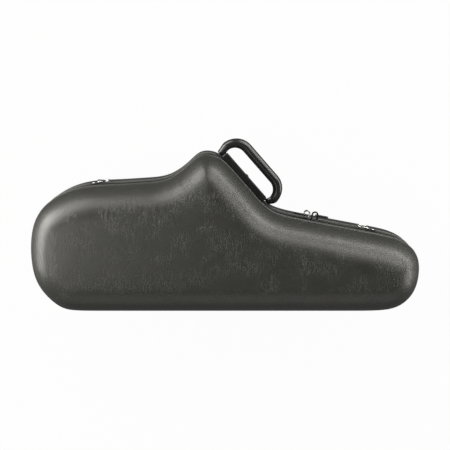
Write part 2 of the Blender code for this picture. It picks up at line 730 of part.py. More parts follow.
def make_handle(model, tools):
    seat = Seat(HANDLE_PLACE_SHARE)
    top = BAR_HEIGHT - BAND_INSET + GAP

    right = [section_ring(*row) for row in grip_sections()]
    left = [[(-x, y, z) for x, y, z in ring] for ring in reversed(right[1:])]
    bm = skin(left + right, True, True, True)
    bmesh.ops.recalc_face_normals(bm, faces=bm.faces)
    grip = seat.put(mesh_object("handle_grip", bm, "grip", model), 0, top, HANDLE_Z)

    depth = BAR_HEIGHT + FOOT_OFFSET
    bar = block("handle_bar", (BAR_LENGTH, depth, BAR_WIDTH), "bar", model, BAR_EDGE)
    seat.put(bar, 0, top - depth / 2, HANDLE_Z)
    for cutter, out, high in (("band_surface", GAP - BAND_INSET, PARTING_Z),
                              ("piping_step", GAP + PIPING_PROUD, PARTING_Z - BAND_EDGE + GAP)):
        body = prism(cutter, [tuple(p) for p in OUTLINE + NORMALS * out], -OVERRUN, high,
                     None, tools)
        trim(bar, as_cutter(body))

    for name, side in (("upper", -1), ("lower", 1)):
        end = side * BAR_LENGTH / 2
        length = PIN_IN_BAR + PIN_IN_FOOT
        middle = end + side * (PIN_IN_FOOT - PIN_IN_BAR) / 2
        pin = rod("handle_pin_" + name, PIN_RADIUS, length, "steel", model, "X", SMALL_SIDES)
        seat.put(pin, middle, top - PIN_DROP, HANDLE_Z)
        bore = rod("pin_bore_" + name, PIN_RADIUS + GAP, length + 2 * GAP, None, tools,
                   "X", SMALL_SIDES)
        as_cutter(seat.put(bore, middle, top - PIN_DROP, HANDLE_Z))
        trim(bar, bore)
        trim(grip, bore)

    backing = block("handle_backing_plate", (BACKING_LENGTH, BACKING_THICKNESS, BACKING_WIDTH),
                    "steel", model)
    backing_top = -(BACKING_DROP + GAP)
    seat.put(backing, 0, backing_top - BACKING_THICKNESS / 2, HANDLE_Z)

    band = bpy.data.objects["rear_band"]
    tape = bpy.data.objects["rear_zip_tape"]
    for number, place in enumerate(SCREW_PLACES, 1):
        foot = backing_top - BACKING_THICKNESS
        clear = rod("screw_hole_%d" % number, SCREW_RADIUS + GAP, top - foot + 2 * OVERRUN,
                    None, tools, "Y", SMALL_SIDES)
        as_cutter(seat.put(clear, place, (top + foot) / 2, HANDLE_Z))
        for piece in (bar, band, tape, backing):
            trim(piece, clear)
        domed = place == 0
        head = top if domed else top - SCREW_HEAD_HEIGHT
        if domed:
            profile = [(SCREW_HEAD_RADIUS * 0.5, head + SCREW_DOME + GAP),
                       (SCREW_HEAD_RADIUS, head + GAP), (SCREW_RADIUS, head + GAP)]
        else:
            sink = rod("screw_sink_%d" % number, SCREW_HEAD_RADIUS + GAP,
                       SCREW_HEAD_HEIGHT + OVERRUN, None, tools, "Y", SMALL_SIDES)
            as_cutter(seat.put(sink, place, head + (SCREW_HEAD_HEIGHT + OVERRUN) / 2, HANDLE_Z))
            trim(bar, sink)
            profile = [(SCREW_HEAD_RADIUS, top - GAP), (SCREW_HEAD_RADIUS, head + GAP),
                       (SCREW_RADIUS, head + GAP)]
        profile.append((SCREW_RADIUS, foot))
        screw = turned("handle_screw_%d" % number, profile, SMALL_SIDES, "steel", model)
        seat.put(screw, place, 0, HANDLE_Z)
    return seat, top


def make_blocks(model, tools):
    """Foam blocks that hold the instrument, trimmed to the room inside the base liner."""
    room = cavity("base_room", -1, tools)
    low = -OVERRUN

    def foam(name, corners, top):
        piece = prism(name, corners, low, top, "plush", model)
        return trim(piece, room, "INTERSECT")

    bow = foam("bow_block", corners_of(*placed(BOW_BLOCK_SHARES)), BLOCK_TOP)
    bow_cut = rod("bow_cut", BOW_RADIUS, WIDTH * 2, None, tools, "Y", 2 * SIDES)
    bow_cut.location = (BOW_CENTRE_SHARE * LENGTH, WIDTH / 2, BLOCK_TOP + BOW_RISE)
    trim(bow, as_cutter(bow_cut))

    for name, shares, radius, axis_share, drop in (
            ("bell_block", BELL_BLOCK_SHARES, BELL_RADIUS, BELL_AXIS_SHARE, BELL_AXIS_DROP),
            ("body_block", BODY_BLOCK_SHARES, BODY_RADIUS, BODY_AXIS_SHARE, BODY_AXIS_DROP)):
        low_corner, high_corner = placed(shares)
        saddle = foam(name, corners_of(low_corner, high_corner), BLOCK_TOP)
        cut = rod(name + "_cut", radius, LENGTH / 2, None, tools, "X", 2 * SIDES)
        cut.location = ((low_corner[0] + high_corner[0]) / 2, axis_share * WIDTH, PARTING_Z - drop)
        trim(saddle, as_cutter(cut))

    low_corner, high_corner = placed(END_BLOCK_SHARES)
    end = foam("neck_end_block", corners_of(low_corner, high_corner), BLOCK_TOP)
    socket = rod("end_cut", END_RADIUS, 2 * END_SOCKET, None, tools, "X", 2 * SIDES)
    socket.location = (low_corner[0], BODY_AXIS_SHARE * WIDTH, PARTING_Z - END_AXIS_DROP)
    trim(end, as_cutter(socket))

    foam("bell_stop_block", placed(BELL_STOP_SHARES), PARTING_Z - BELL_STOP_DROP)


def upper_wall(x, inset):
    """The plan y of a line that lies inset from the handle side at this x."""
    seat = Seat(x / LENGTH)
    return float(seat.point[1] - inset / seat.out[1])


def make_accessory_box(model, tools):
    """An open box with its lid and tab; returns the lid's hinge line."""
    outside = LINER_WALL_INSET + FOAM_ROOM
    inset = outside + BOX_WALL
    left, right, near = BOX_FROM_SHARE * LENGTH, BOX_TO_SHARE * LENGTH, BOX_SIDE_SHARE * WIDTH
    corners = [(left, near), (right, near), (right, upper_wall(right, outside)),
               (left, upper_wall(left, outside))]
    box = prism("accessory_box", corners, -OVERRUN, BOX_TOP, "plush", model)
    base_room = bpy.data.objects["base_room"]
    trim(box, base_room, "INTERSECT")
    wall = BOX_WALL
    room = [(left + wall, near + wall), (right - wall, near + wall),
            (right - wall, upper_wall(right, inset)), (left + wall, upper_wall(left, inset))]
    trim(box, as_cutter(prism("box_room", room, BOX_TOP - BOX_DEPTH, BOX_TOP + OVERRUN,
                              None, tools)))

    lid_low = BOX_TOP + GAP
    cover = prism("accessory_lid", corners, lid_low, lid_low + BOX_LID_THICKNESS, "plush", model)
    trim(cover, base_room, "INTERSECT")
    middle = (left + right) / 2
    tab = block("accessory_lid_tab", (BOX_TAB_WIDTH, BOX_TAB_LENGTH, BOX_TAB_THICKNESS),
                "webbing", model)
    Seat(middle / LENGTH).put(tab, 0, -(outside + BOX_TAB_LENGTH / 2 + GAP),
                              lid_low + BOX_LID_THICKNESS + GAP + BOX_TAB_THICKNESS / 2)
    return cover, tab, (middle, near, lid_low)


def make_strap(model):
    """Two lapped halves of the strap that ties the instrument down."""
    low_wall = LINER_WALL_INSET + GAP
    high = placed(BELL_STOP_SHARES)[0][1]
    middle = (low_wall + high) / 2
    lap = STRAP_LAP / 2
    lower_top = PARTING_Z - STRAP_DROP
    for name, start, end, top in (
            ("strap_hinge_side", low_wall, middle + lap, lower_top),
            ("strap_bell_side", middle - lap, high, lower_top + STRAP_THICKNESS + GAP)):
        half = block(name, (STRAP_WIDTH, end - start, STRAP_THICKNESS), "webbing", model)
        half.location = (STRAP_PLACE_SHARE * LENGTH, (start + end) / 2, top - STRAP_THICKNESS / 2)


def make_lid_pads(model, tools):
    room = cavity("lid_room", 1, tools)
    face = PARTING_Z + FRONT_DEPTH - LINER_FLOOR - FRONT_CROWN
    low = face - PAD_THICKNESS
    high = PARTING_Z + FRONT_DEPTH
    body = prism("lid_pad_body", corners_of(*placed(BODY_PAD_SHARES)), low, high, "plush", model)
    ring = arc(placed(BELL_PAD_PLACE_SHARES), BELL_PAD_RADIUS, 0, 360 - 360 / (2 * SIDES), 2 * SIDES)
    bell = prism("lid_pad_bell", ring, low, high, "plush", model)
    for pad in (body, bell):
        trim(pad, room, "INTERSECT")


def add_empty(name, location, home):
    empty = bpy.data.objects.new(name, None)
    empty.location = location
    home.objects.link(empty)
    return empty


def hang(children, empty):
    """Parent pieces to an empty that stands on their joint, without moving them."""
    for child in children:
        child.parent = empty
        child.matrix_parent_inverse = empty.matrix_world.inverted()


def make_bodies(model, handle, accessory):
    """Empties on the joints' axes carry the moving pieces; one root carries everything."""
    seat, top = handle
    cover, tab, box_hinge = accessory
    pieces = bpy.data.objects
    groups = {
        "lid_axis": ((0, HINGE_INSET, PARTING_Z),
                     [o for o in model.objects if o.name.startswith(("front_", "lid_pad"))]),
        "handle_axis": ((*seat.at(0, top - PIN_DROP), HANDLE_Z), [pieces["handle_grip"]]),
        "accessory_lid_axis": (box_hinge, [cover, tab]),
    }
    for name, place, side, up in slider_seats():
        pull_at = place.at(side * PULL_PIVOT_IN, SLIDER_TOP + up)
        groups["zip_%s_run" % name] = ((*place.point, PARTING_Z), [pieces["zip_slider_" + name]])
        groups["pull_%s_axis" % name] = ((*pull_at, PARTING_Z), [pieces["zip_pull_" + name]])
    for name, x in (("left", RING_PLACE_SHARES[0]), ("right", RING_PLACE_SHARES[1])):
        groups["ring_%s_axis" % name] = ((*Seat(x).at(0, RING_BAR_UP), RING_Z),
                                         [pieces["strap_ring_" + name]])
    empties = {name: add_empty(name, place, model) for name, (place, _) in groups.items()}
    bpy.context.view_layer.update()
    for name, (_, children) in groups.items():
        hang(children, empties[name])
    for side in ("left", "right"):
        hang([empties["pull_%s_axis" % side]], empties["zip_%s_run" % side])

    low = -PIPING_PROUD
    reach = [seat.at(u, top + n)[1] + GRIP_RADIUS for (u, n), *_ in grip_sections()]
    reach += [seat.at(-u, top + n)[1] + GRIP_RADIUS for (u, n), *_ in grip_sections()]
    root = add_empty("case_origin", (0, 0, 0), model)
    bpy.context.view_layer.update()
    hang([o for o in list(bpy.data.objects) if o.parent is None and o is not root], root)
    root.location = (0, -(low + max(reach)) / 2, 0)
    bpy.context.view_layer.update()


def main():
    clear_scene()
    model = new_collection("alto_saxophone_case")
    tools = new_collection("cutters")
    make_shells(model)
    make_band(model)
    make_zip_stops(model)
    make_liners(model)
    make_zip_hardware(model, tools)
    make_strap_rings(model, tools)
    handle = make_handle(model, tools)
    make_blocks(model, tools)
    accessory = make_accessory_box(model, tools)
    make_strap(model)
    make_lid_pads(model, tools)
    make_bodies(model, handle, accessory)


main()
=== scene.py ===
# %% [markdown]
# A shaped case for an alto saxophone: two moulded shells that meet at a woven band with a zip
# in it. The case lies on its back, lid up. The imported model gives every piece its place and
# size. This script dresses it: it models what a plain solid can't show, such as the rolled lip,
# the weave, the teeth and the stitches, and then sets each finish, the light and the camera.

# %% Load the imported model
import json
import math

import bmesh
import bpy
import numpy as np
from mathutils import Matrix, Vector


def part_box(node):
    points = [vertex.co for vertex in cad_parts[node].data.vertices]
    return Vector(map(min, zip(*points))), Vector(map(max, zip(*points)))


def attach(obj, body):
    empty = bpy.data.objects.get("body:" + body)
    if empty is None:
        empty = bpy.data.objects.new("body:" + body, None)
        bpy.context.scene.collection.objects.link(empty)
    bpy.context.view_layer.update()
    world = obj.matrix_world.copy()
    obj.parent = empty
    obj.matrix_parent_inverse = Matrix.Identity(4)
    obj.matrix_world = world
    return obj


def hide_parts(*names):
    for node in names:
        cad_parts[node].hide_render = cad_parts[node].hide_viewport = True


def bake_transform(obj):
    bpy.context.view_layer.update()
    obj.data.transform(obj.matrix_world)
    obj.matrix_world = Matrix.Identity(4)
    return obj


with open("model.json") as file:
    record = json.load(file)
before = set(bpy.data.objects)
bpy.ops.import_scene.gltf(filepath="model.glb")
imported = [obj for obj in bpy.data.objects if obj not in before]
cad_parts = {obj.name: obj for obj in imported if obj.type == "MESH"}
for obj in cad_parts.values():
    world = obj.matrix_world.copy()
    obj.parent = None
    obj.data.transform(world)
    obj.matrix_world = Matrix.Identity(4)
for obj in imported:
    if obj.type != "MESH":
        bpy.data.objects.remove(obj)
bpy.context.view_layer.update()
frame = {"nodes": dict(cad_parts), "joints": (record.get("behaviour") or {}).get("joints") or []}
nodes = frame["nodes"]
joints = {joint["name"]: joint for joint in frame["joints"]}
print("pieces in the frame:", len(nodes), "joints:", len(joints))

# %% [markdown]
# The camera stands above the handle side and looks almost straight down. Its place and angle
# are set first.

# %% Camera
COLLECTION = bpy.context.scene.collection
FIELD_DEGREES = 26.705
TILT_DEGREES = 10.113
CAMERA_PLACE = (-0.0007, 0.2840, 1.6953)

camera = bpy.data.objects.new("camera", bpy.data.cameras.new("camera"))
COLLECTION.objects.link(camera)
bpy.context.scene.camera = camera
camera.data.angle = math.radians(FIELD_DEGREES)
camera.location = CAMERA_PLACE
camera.rotation_euler = (-math.radians(TILT_DEGREES), 0, 0)
print("camera:", [round(value, 4) for value in camera.location])

# %% [markdown]
# Every strip and shell follows one outline, so the outline is read once from the flat rim of
# the rear shell. A few dozen points are enough for a solid but show as flats in a gloss, so a
# cubic curve is passed through them and sampled finely.

# %% Heights above and below the parting plane
WELD = 0.00002
PARTING = joints["lid_hinge"]["pos_m"][2]
SEAM_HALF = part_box("front_shell")[0].z - PARTING
FRONT_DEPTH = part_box("front_shell")[1].z - PARTING
REAR_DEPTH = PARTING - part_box("rear_shell")[0].z
HALVES = (("rear", -1, "base"), ("front", 1, "lid"))
print("half height of the seam: %.4f" % SEAM_HALF)


# %% Read a rim as loops of points
def rim_loops(node, height):
    """The loops of edges that bound a node's flat rim at this height.

    The edges wait in a dict, which keeps their order, so each run starts at the same one.
    """
    bm = bmesh.new()
    bm.from_mesh(nodes[node].data)
    bmesh.ops.remove_doubles(bm, verts=bm.verts, dist=WELD)
    off_rim = [f for f in bm.faces if any(abs(v.co.z - height) > WELD for v in f.verts)]
    bmesh.ops.delete(bm, geom=off_rim, context="FACES")
    left = dict.fromkeys(edge for edge in bm.edges if edge.is_boundary)
    loops = []
    while left:
        edge = next(iter(left))
        del left[edge]
        chain = list(edge.verts)
        while True:
            onward = [e for e in chain[-1].link_edges if e in left]
            if not onward:
                break
            del left[onward[0]]
            chain.append(onward[0].other_vert(chain[-1]))
        loops.append(np.array([vert.co[:2] for vert in chain[:-1]]))
    bm.free()
    return loops


def signed_area(points):
    x, y = points.T
    return 0.5 * float(np.sum(x * np.roll(y, -1) - y * np.roll(x, -1)))


def split_long_runs(points, longest):
    """Put points back on straight runs, where the solid keeps only the two ends."""
    placed = []
    for start, end in zip(points, np.roll(points, -1, axis=0)):
        parts = math.ceil(float(np.linalg.norm(end - start)) / longest)
        placed += [start + (end - start) * k / parts for k in range(parts)]
    return np.array(placed)


LONGEST_RUN = 0.036
rim = max(rim_loops("rear_shell", PARTING - SEAM_HALF), key=lambda loop: abs(signed_area(loop)))
if signed_area(rim) > 0:
    rim = rim[::-1]
print("points on the rim:", len(rim))
rim = split_long_runs(rim, LONGEST_RUN)
print("with straight runs split:", len(rim))


# %% Pass a smooth closed curve through the points
def smooth_loop(points, steps):
    """A closed cubic curve through the points, sampled steps times between two of them."""
    count = len(points)
    unit = np.eye(count)
    weights = (4 * unit + np.roll(unit, 1, axis=0) + np.roll(unit, -1, axis=0)) / 6
    curve = bpy.data.curves.new("outline", "CURVE")
    curve.dimensions = "3D"
    curve.resolution_u = steps
    line = curve.splines.new("NURBS")
    line.points.add(count - 1)
    for knot, (x, y) in zip(line.points, np.linalg.solve(weights, points)):
        knot.co = (x, y, 0, 1)
    line.order_u = 4
    line.use_cyclic_u = True
    guide = bpy.data.objects.new("outline", curve)
    samples = np.array([vert.co[:2] for vert in guide.to_mesh().vertices])
    guide.to_mesh_clear()
    bpy.data.objects.remove(guide)
    return samples


SAMPLES_A_RUN = 10
outline = smooth_loop(rim, SAMPLES_A_RUN)
off_hinge = np.abs(outline[:, 0]) + np.abs(outline[:, 1] - outline[:, 1].min())
hinge_middle = int(np.argmin(off_hinge))
outline = np.roll(outline, -hinge_middle, axis=0)
slope = np.roll(outline, -1, axis=0) - np.roll(outline, 1, axis=0)
slope /= np.linalg.norm(slope, axis=1)[:, None]
normals = np.column_stack([-slope[:, 1], slope[:, 0]])
runs = np.linalg.norm(np.roll(outline, -1, axis=0) - outline, axis=1)
lengths = np.concatenate([[0], np.cumsum(runs)])
total = float(lengths[-1])
print("outline samples:", len(outline), "way round: %.3f m" % total)


# %% Places along the outline
def spot(distance):
    """The point, the direction and the outward normal at a distance round the case."""
    loop = np.vstack([outline, outline[:1]])
    out = np.vstack([normals, normals[:1]])
    place = distance % total
    point = np.array([np.interp(place, lengths, loop[:, axis]) for axis in (0, 1)])
    away = np.array([np.interp(place, lengths, out[:, axis]) for axis in (0, 1)])
    away /= np.linalg.norm(away)
    return point, np.array([away[1], -away[0]]), away


def distance_to(x, y):
    """How far round the case the outline comes nearest to a plan point."""
    near = np.linalg.norm(outline - (x, y), axis=1)
    return float(lengths[int(np.argmin(near))])


def middle(node):
    low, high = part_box(node)
    return (low + high) / 2


def reach_from_parting(node):
    """How far a node's near and far edges lie from the parting plane, above or below it."""
    low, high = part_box(node)
    return sorted((abs(low.z - PARTING), abs(high.z - PARTING)))


zip_from = distance_to(*middle("zip_stop_bell_end").xy)
zip_to = distance_to(*middle("zip_stop_narrow_end").xy)
print("zip: %.3f m, hinge: %.3f m" % ((zip_to - zip_from) % total, (zip_from - zip_to) % total))

# %% [markdown]
# Shells, bands, tapes and tubes are all lofts: a ring of edges is drawn once and then extruded
# ring by ring. The rings stay in step with the outline, so the same pass writes a UV map whose
# first axis runs along the case and whose second runs across the strip, both in metres. The
# weave needs that map, because on a bent strip a pattern in space would shear.

# %% Loft rings into a mesh
SHARP = math.radians(38)


def add_piece(name, bm, material=None, sharp=SHARP):
    """Turn a bmesh into a smooth-shaded object at the origin."""
    mesh = bpy.data.meshes.new(name)
    bm.to_mesh(mesh)
    bm.free()
    piece = bpy.data.objects.new(name, mesh)
    COLLECTION.objects.link(piece)
    mesh.shade_smooth()
    mesh.set_sharp_from_angle(angle=sharp)
    if material:
        mesh.materials.append(material)
    return piece


def hang(piece, body, slot, *replaced):
    """Hide the solids that a piece stands for and hang it on the body that it rides on; the slot
    is not used.
    """
    if replaced:
        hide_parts(*replaced)
    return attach(piece, body)


def loft_mesh(rings, stations, cyclic, closed_section):
    """Extrude the first ring through the others and map it by length."""
    bm = bmesh.new()
    order = bm.verts.layers.int.new("order")
    across = bm.verts.layers.float.new("across")
    row = [bm.verts.new(place) for place in rings[0]]
    for number, vert in enumerate(row):
        vert[order] = number
    pairs = list(zip(row, row[1:] + row[:1])) if cyclic else list(zip(row, row[1:]))
    edges = [bm.edges.new(pair) for pair in pairs]
    if closed_section:
        rings = list(rings) + [rings[0]]
    width = 0.0
    for before, ring in zip(rings, rings[1:]):
        width += float(np.linalg.norm(np.asarray(ring) - np.asarray(before), axis=1).mean())
        made = bmesh.ops.extrude_edge_only(bm, edges=edges)["geom"]
        new = {item for item in made if isinstance(item, bmesh.types.BMVert)}
        for vert in new:
            vert.co = ring[vert[order]]
            vert[across] = width
        edges = [item for item in made if isinstance(item, bmesh.types.BMEdge)
                 and item.verts[0] in new and item.verts[1] in new]
    uv = bm.loops.layers.uv.new("along_across")
    wrap = stations[-1]
    for face in bm.faces:
        marks = [loop.vert[order] for loop in face.loops]
        turn = cyclic and max(marks) - min(marks) > 1
        for loop, mark in zip(face.loops, marks):
            along = wrap if turn and mark == 0 else stations[mark]
            loop[uv].uv = (along, loop.vert[across])
    if closed_section:
        bmesh.ops.remove_doubles(bm, verts=bm.verts, dist=WELD)
    open_edges = [edge for edge in bm.edges if edge.is_boundary]
    if open_edges:
        bmesh.ops.holes_fill(bm, edges=open_edges, sides=0)
    bmesh.ops.recalc_face_normals(bm, faces=bm.faces)
    return bm


def ring_at(out, height, line=None, away=None):
    """A ring that stands out from the outline, at a height from the parting plane."""
    line = outline if line is None else line
    away = normals if away is None else away
    plan = line + away * out
    return np.column_stack([plan, np.full(len(plan), PARTING + height)])


def stretch_of(first, last, steps):
    """Samples of the outline between two distances, with their normals and lengths."""
    end = last if last > first else last + total
    stations = np.linspace(first, end, steps)
    spots = [spot(station) for station in stations]
    return np.array([s[0] for s in spots]), np.array([s[2] for s in spots]), stations - first


# %% [markdown]
# Finishes are made of a few shared effects. Grain, creases, weave and dust are each a small
# node group that gives back a height or a mask, and every material places the ones it needs
# with its own values. The shader itself stays in the material.

# %% Helpers for shader nodes
def node(tree, kind, sockets=None, **settings):
    """Add a shader node; a socket's value is a number, a colour or another node's output."""
    made = tree.nodes.new(kind)
    for name, value in settings.items():
        setattr(made, name, value)
    for name, value in (sockets or {}).items():
        if isinstance(value, bpy.types.NodeSocket):
            tree.links.new(value, made.inputs[name])
        else:
            made.inputs[name].default_value = value
    return made


def maths(tree, operation, first, second=0.0, clamp=False):
    return node(tree, "ShaderNodeMath", {0: first, 1: second}, operation=operation,
                use_clamp=clamp).outputs[0]


def span(tree, value, low, high, to_low=0.0, to_high=1.0):
    """Map a value from one span to another, clamped."""
    sockets = {"Value": value, "From Min": low, "From Max": high,
               "To Min": to_low, "To Max": to_high}
    return node(tree, "ShaderNodeMapRange", sockets).outputs["Result"]


def stretched(tree, vector, scale, turn=(0, 0, 0)):
    sockets = {"Vector": vector, "Scale": scale, "Rotation": turn}
    return node(tree, "ShaderNodeMapping", sockets).outputs["Vector"]


def noise(tree, vector, scale, detail=2.0, roughness=0.5):
    sockets = {"Vector": vector, "Scale": scale, "Detail": detail, "Roughness": roughness}
    return node(tree, "ShaderNodeTexNoise", sockets).outputs["Fac"]


def start_group(name, inputs, outputs):
    """A shader node group with named sockets; returns its tree, its inputs and its output node."""
    tree = bpy.data.node_groups.new(name, "ShaderNodeTree")
    for label, kind, value in inputs:
        socket = tree.interface.new_socket(label, in_out="INPUT", socket_type=kind)
        if value is not None:
            socket.default_value = value
    for label in outputs:
        tree.interface.new_socket(label, in_out="OUTPUT", socket_type="NodeSocketFloat")
    return tree, tree.nodes.new("NodeGroupInput").outputs, tree.nodes.new("NodeGroupOutput")


def effect(tree, group, **values):
    """Place a node group in a material; underscores in the names stand for spaces."""
    placed = node(tree, "ShaderNodeGroup", node_tree=group)
    for name, value in values.items():
        socket = placed.inputs[name.replace("_", " ")]
        if isinstance(value, bpy.types.NodeSocket):
            tree.links.new(value, socket)
        else:
            socket.default_value = value
    return placed.outputs


# %% Leather grain: small rounded cells with soft valleys
def make_grain():
    tree, given, out = start_group("leather grain", [("Vector", "NodeSocketVector", None),
                                                     ("Scale", "NodeSocketFloat", 700.0)],
                                   ["Height"])
    wobble = noise(tree, given["Vector"], 260.0, 2.0)
    moved = node(tree, "ShaderNodeVectorMath", {0: given["Vector"], 1: (0.0008, 0.0008, 0.0008)},
                 operation="MULTIPLY_ADD")
    tree.links.new(wobble, moved.inputs[0])
    tree.links.new(given["Vector"], moved.inputs[2])
    cells = node(tree, "ShaderNodeTexVoronoi", {"Vector": moved.outputs[0],
                                                "Scale": given["Scale"]},
                 feature="DISTANCE_TO_EDGE").outputs["Distance"]
    pebbles = span(tree, cells, 0.0, 0.28)
    fine = noise(tree, given["Vector"], 2400.0, 2.0)
    tree.links.new(maths(tree, "ADD", pebbles, maths(tree, "MULTIPLY", fine, 0.25)),
                   out.inputs["Height"])
    return tree


grain_group = make_grain()
print("grain:", [item.name for item in grain_group.interface.items_tree])


# %% Creases: short strokes pressed across the case, only here and there
def make_creases():
    tree, given, out = start_group("creases", [("Vector", "NodeSocketVector", None),
                                               ("Amount", "NodeSocketFloat", 1.0)], ["Height"])
    strokes = noise(tree, stretched(tree, given["Vector"], (260.0, 45.0, 120.0), (0, 0, 0.25)),
                    1.0, 3.0, 0.55)
    folds = maths(tree, "ABSOLUTE", maths(tree, "SUBTRACT", strokes, 0.5))
    line = span(tree, folds, 0.0, 0.045, 0.0, 1.0)
    where = span(tree, noise(tree, given["Vector"], 28.0, 3.0), 0.38, 0.62)
    deep = maths(tree, "MULTIPLY", maths(tree, "SUBTRACT", 1.0, line), where)
    tree.links.new(maths(tree, "MULTIPLY", deep, maths(tree, "MULTIPLY", given["Amount"], -1.0)),
                   out.inputs["Height"])
    return tree


creases_group = make_creases()
print("creases:", len(creases_group.nodes), "nodes")


# %% Weave: threads that pass over and under, from a map in metres, and painted shade in valleys
def make_weave():
    tree, given, out = start_group("weave", [("Vector", "NodeSocketVector", None),
                                             ("Along", "NodeSocketFloat", 0.0011),
                                             ("Across", "NodeSocketFloat", 0.0009),
                                             ("Slant", "NodeSocketFloat", 0.0)],
                                   ["Height", "Valley"])
    parts = node(tree, "ShaderNodeSeparateXYZ", {"Vector": given["Vector"]}).outputs
    row = maths(tree, "DIVIDE", parts["Y"], given["Across"])
    column = maths(tree, "ADD", maths(tree, "DIVIDE", parts["X"], given["Along"]),
                   maths(tree, "MULTIPLY", row, given["Slant"]))
    warp = maths(tree, "SINE", maths(tree, "MULTIPLY", column, math.pi))
    weft = maths(tree, "SINE", maths(tree, "MULTIPLY", row, math.pi))
    over = maths(tree, "MULTIPLY", warp, weft)
    bumps = maths(tree, "POWER", maths(tree, "ABSOLUTE", over), 0.6)
    ribs = span(tree, warp, -1.0, 1.0, 0.0, 0.5)
    height = maths(tree, "ADD", maths(tree, "MULTIPLY", bumps, 0.6), ribs)
    tree.links.new(height, out.inputs["Height"])
    # The valley mask is painted shade: the colour goes darker where the threads dip.
    tree.links.new(span(tree, bumps, 0.0, 0.45, 1.0, 0.0), out.inputs["Valley"])
    return tree


weave_group = make_weave()
print("weave:", [item.name for item in weave_group.interface.items_tree])


# %% Dust and handling: slow changes of tone over a surface
def make_handling():
    tree, given, out = start_group("handling", [("Vector", "NodeSocketVector", None),
                                                ("Scale", "NodeSocketFloat", 14.0)],
                                   ["Cloud", "Speck"])
    tree.links.new(noise(tree, given["Vector"], given["Scale"], 4.0, 0.6), out.inputs["Cloud"])
    dots = node(tree, "ShaderNodeTexVoronoi", {"Vector": given["Vector"], "Scale": 260.0})
    near = span(tree, dots.outputs["Distance"], 0.0, 0.12, 1.0, 0.0)
    rare = span(tree, noise(tree, given["Vector"], 90.0, 1.0), 0.62, 0.68)
    tree.links.new(maths(tree, "MULTIPLY", near, rare), out.inputs["Speck"])
    return tree


handling_group = make_handling()
print("handling:", len(handling_group.nodes), "nodes")


# %% Start a material with its shader
def start_material(name, roughness, metallic=0.0, **constants):
    """A material with a Principled shader; constants are set on the shader's own sockets."""
    material = bpy.data.materials.new(name)
    material.use_nodes = True
    tree = material.node_tree
    shader = tree.nodes["Principled BSDF"]
    shader.inputs["Roughness"].default_value = roughness
    shader.inputs["Metallic"].default_value = metallic
    for label, value in constants.items():
        shader.inputs[label.replace("_", " ")].default_value = value
    return material, tree, shader


def place_of(tree):
    return tree.nodes.new("ShaderNodeTexCoord").outputs["Object"]


def map_of(tree):
    return tree.nodes.new("ShaderNodeTexCoord").outputs["UV"]


def tint(tree, shader, dark, light, mask):
    """Mix two colours by a mask into the shader's colour."""
    mix = node(tree, "ShaderNodeMix", data_type="RGBA")
    mix.inputs[6].default_value = (*dark, 1)
    mix.inputs[7].default_value = (*light, 1)
    tree.links.new(mask, mix.inputs[0])
    tree.links.new(mix.outputs[2], shader.inputs["Base Color"])


def raise_bumps(tree, shader, layers):
    """Chain bumps of (height, depth in metres, strength) into the shader's normal."""
    before = None
    for height, depth, strength in layers:
        bump = node(tree, "ShaderNodeBump", {"Height": height, "Distance": depth,
                                             "Strength": strength})
        if before:
            tree.links.new(before, bump.inputs["Normal"])
        before = bump.outputs["Normal"]
    tree.links.new(before, shader.inputs["Normal"])


# %% [markdown]
# The shells wear a leather-grained film, dark grey with a green cast and a satin sheen. Its
# look comes from three depths of relief: fine pebbles, short pressed creases, and a slow
# unevenness of the board under the film that breaks the long highlights.

# %% Shell film
def film_material():
    material, tree, shader = start_material("shell film", 0.50, Specular_IOR_Level=0.75,
                                            Coat_Weight=0.60, Coat_Roughness=0.32)
    place = place_of(tree)
    grain = effect(tree, grain_group, Vector=place, Scale=620.0)["Height"]
    crease = effect(tree, creases_group, Vector=place, Amount=1.0)["Height"]
    slow = noise(tree, place, 11.0, 2.0, 0.45)
    marks = effect(tree, handling_group, Vector=place, Scale=9.0)
    tint(tree, shader, (0.0125, 0.0128, 0.0098), (0.0185, 0.0189, 0.0148), marks["Cloud"])
    rough = span(tree, noise(tree, place, 45.0, 3.0), 0.35, 0.65, 0.46, 0.54)
    tree.links.new(maths(tree, "ADD", rough, maths(tree, "MULTIPLY", marks["Speck"], 0.25)),
                   shader.inputs["Roughness"])
    patchy = noise(tree, place, 48.0, 3.0, 0.55)
    raise_bumps(tree, shader, [(slow, 0.0035, 0.35), (patchy, 0.0009, 0.3),
                               (crease, 0.00042, 0.75),
                               (grain, 0.00012, 0.35)])
    return material


film = film_material()
print("material:", film.name)


# %% Piping, band, zip and webbing
def piping_material():
    material, tree, shader = start_material("rolled edge", 0.5, Specular_IOR_Level=0.8)
    place = place_of(tree)
    grain = effect(tree, grain_group, Vector=place, Scale=900.0)["Height"]
    marks = effect(tree, handling_group, Vector=place, Scale=30.0)
    # Painted much lighter than the shell film: a painted highlight along the bead, with a random
    # tone.
    tint(tree, shader, (0.064, 0.067, 0.061), (0.104, 0.107, 0.099), marks["Cloud"])
    raise_bumps(tree, shader, [(grain, 0.00015, 0.35)])
    return material


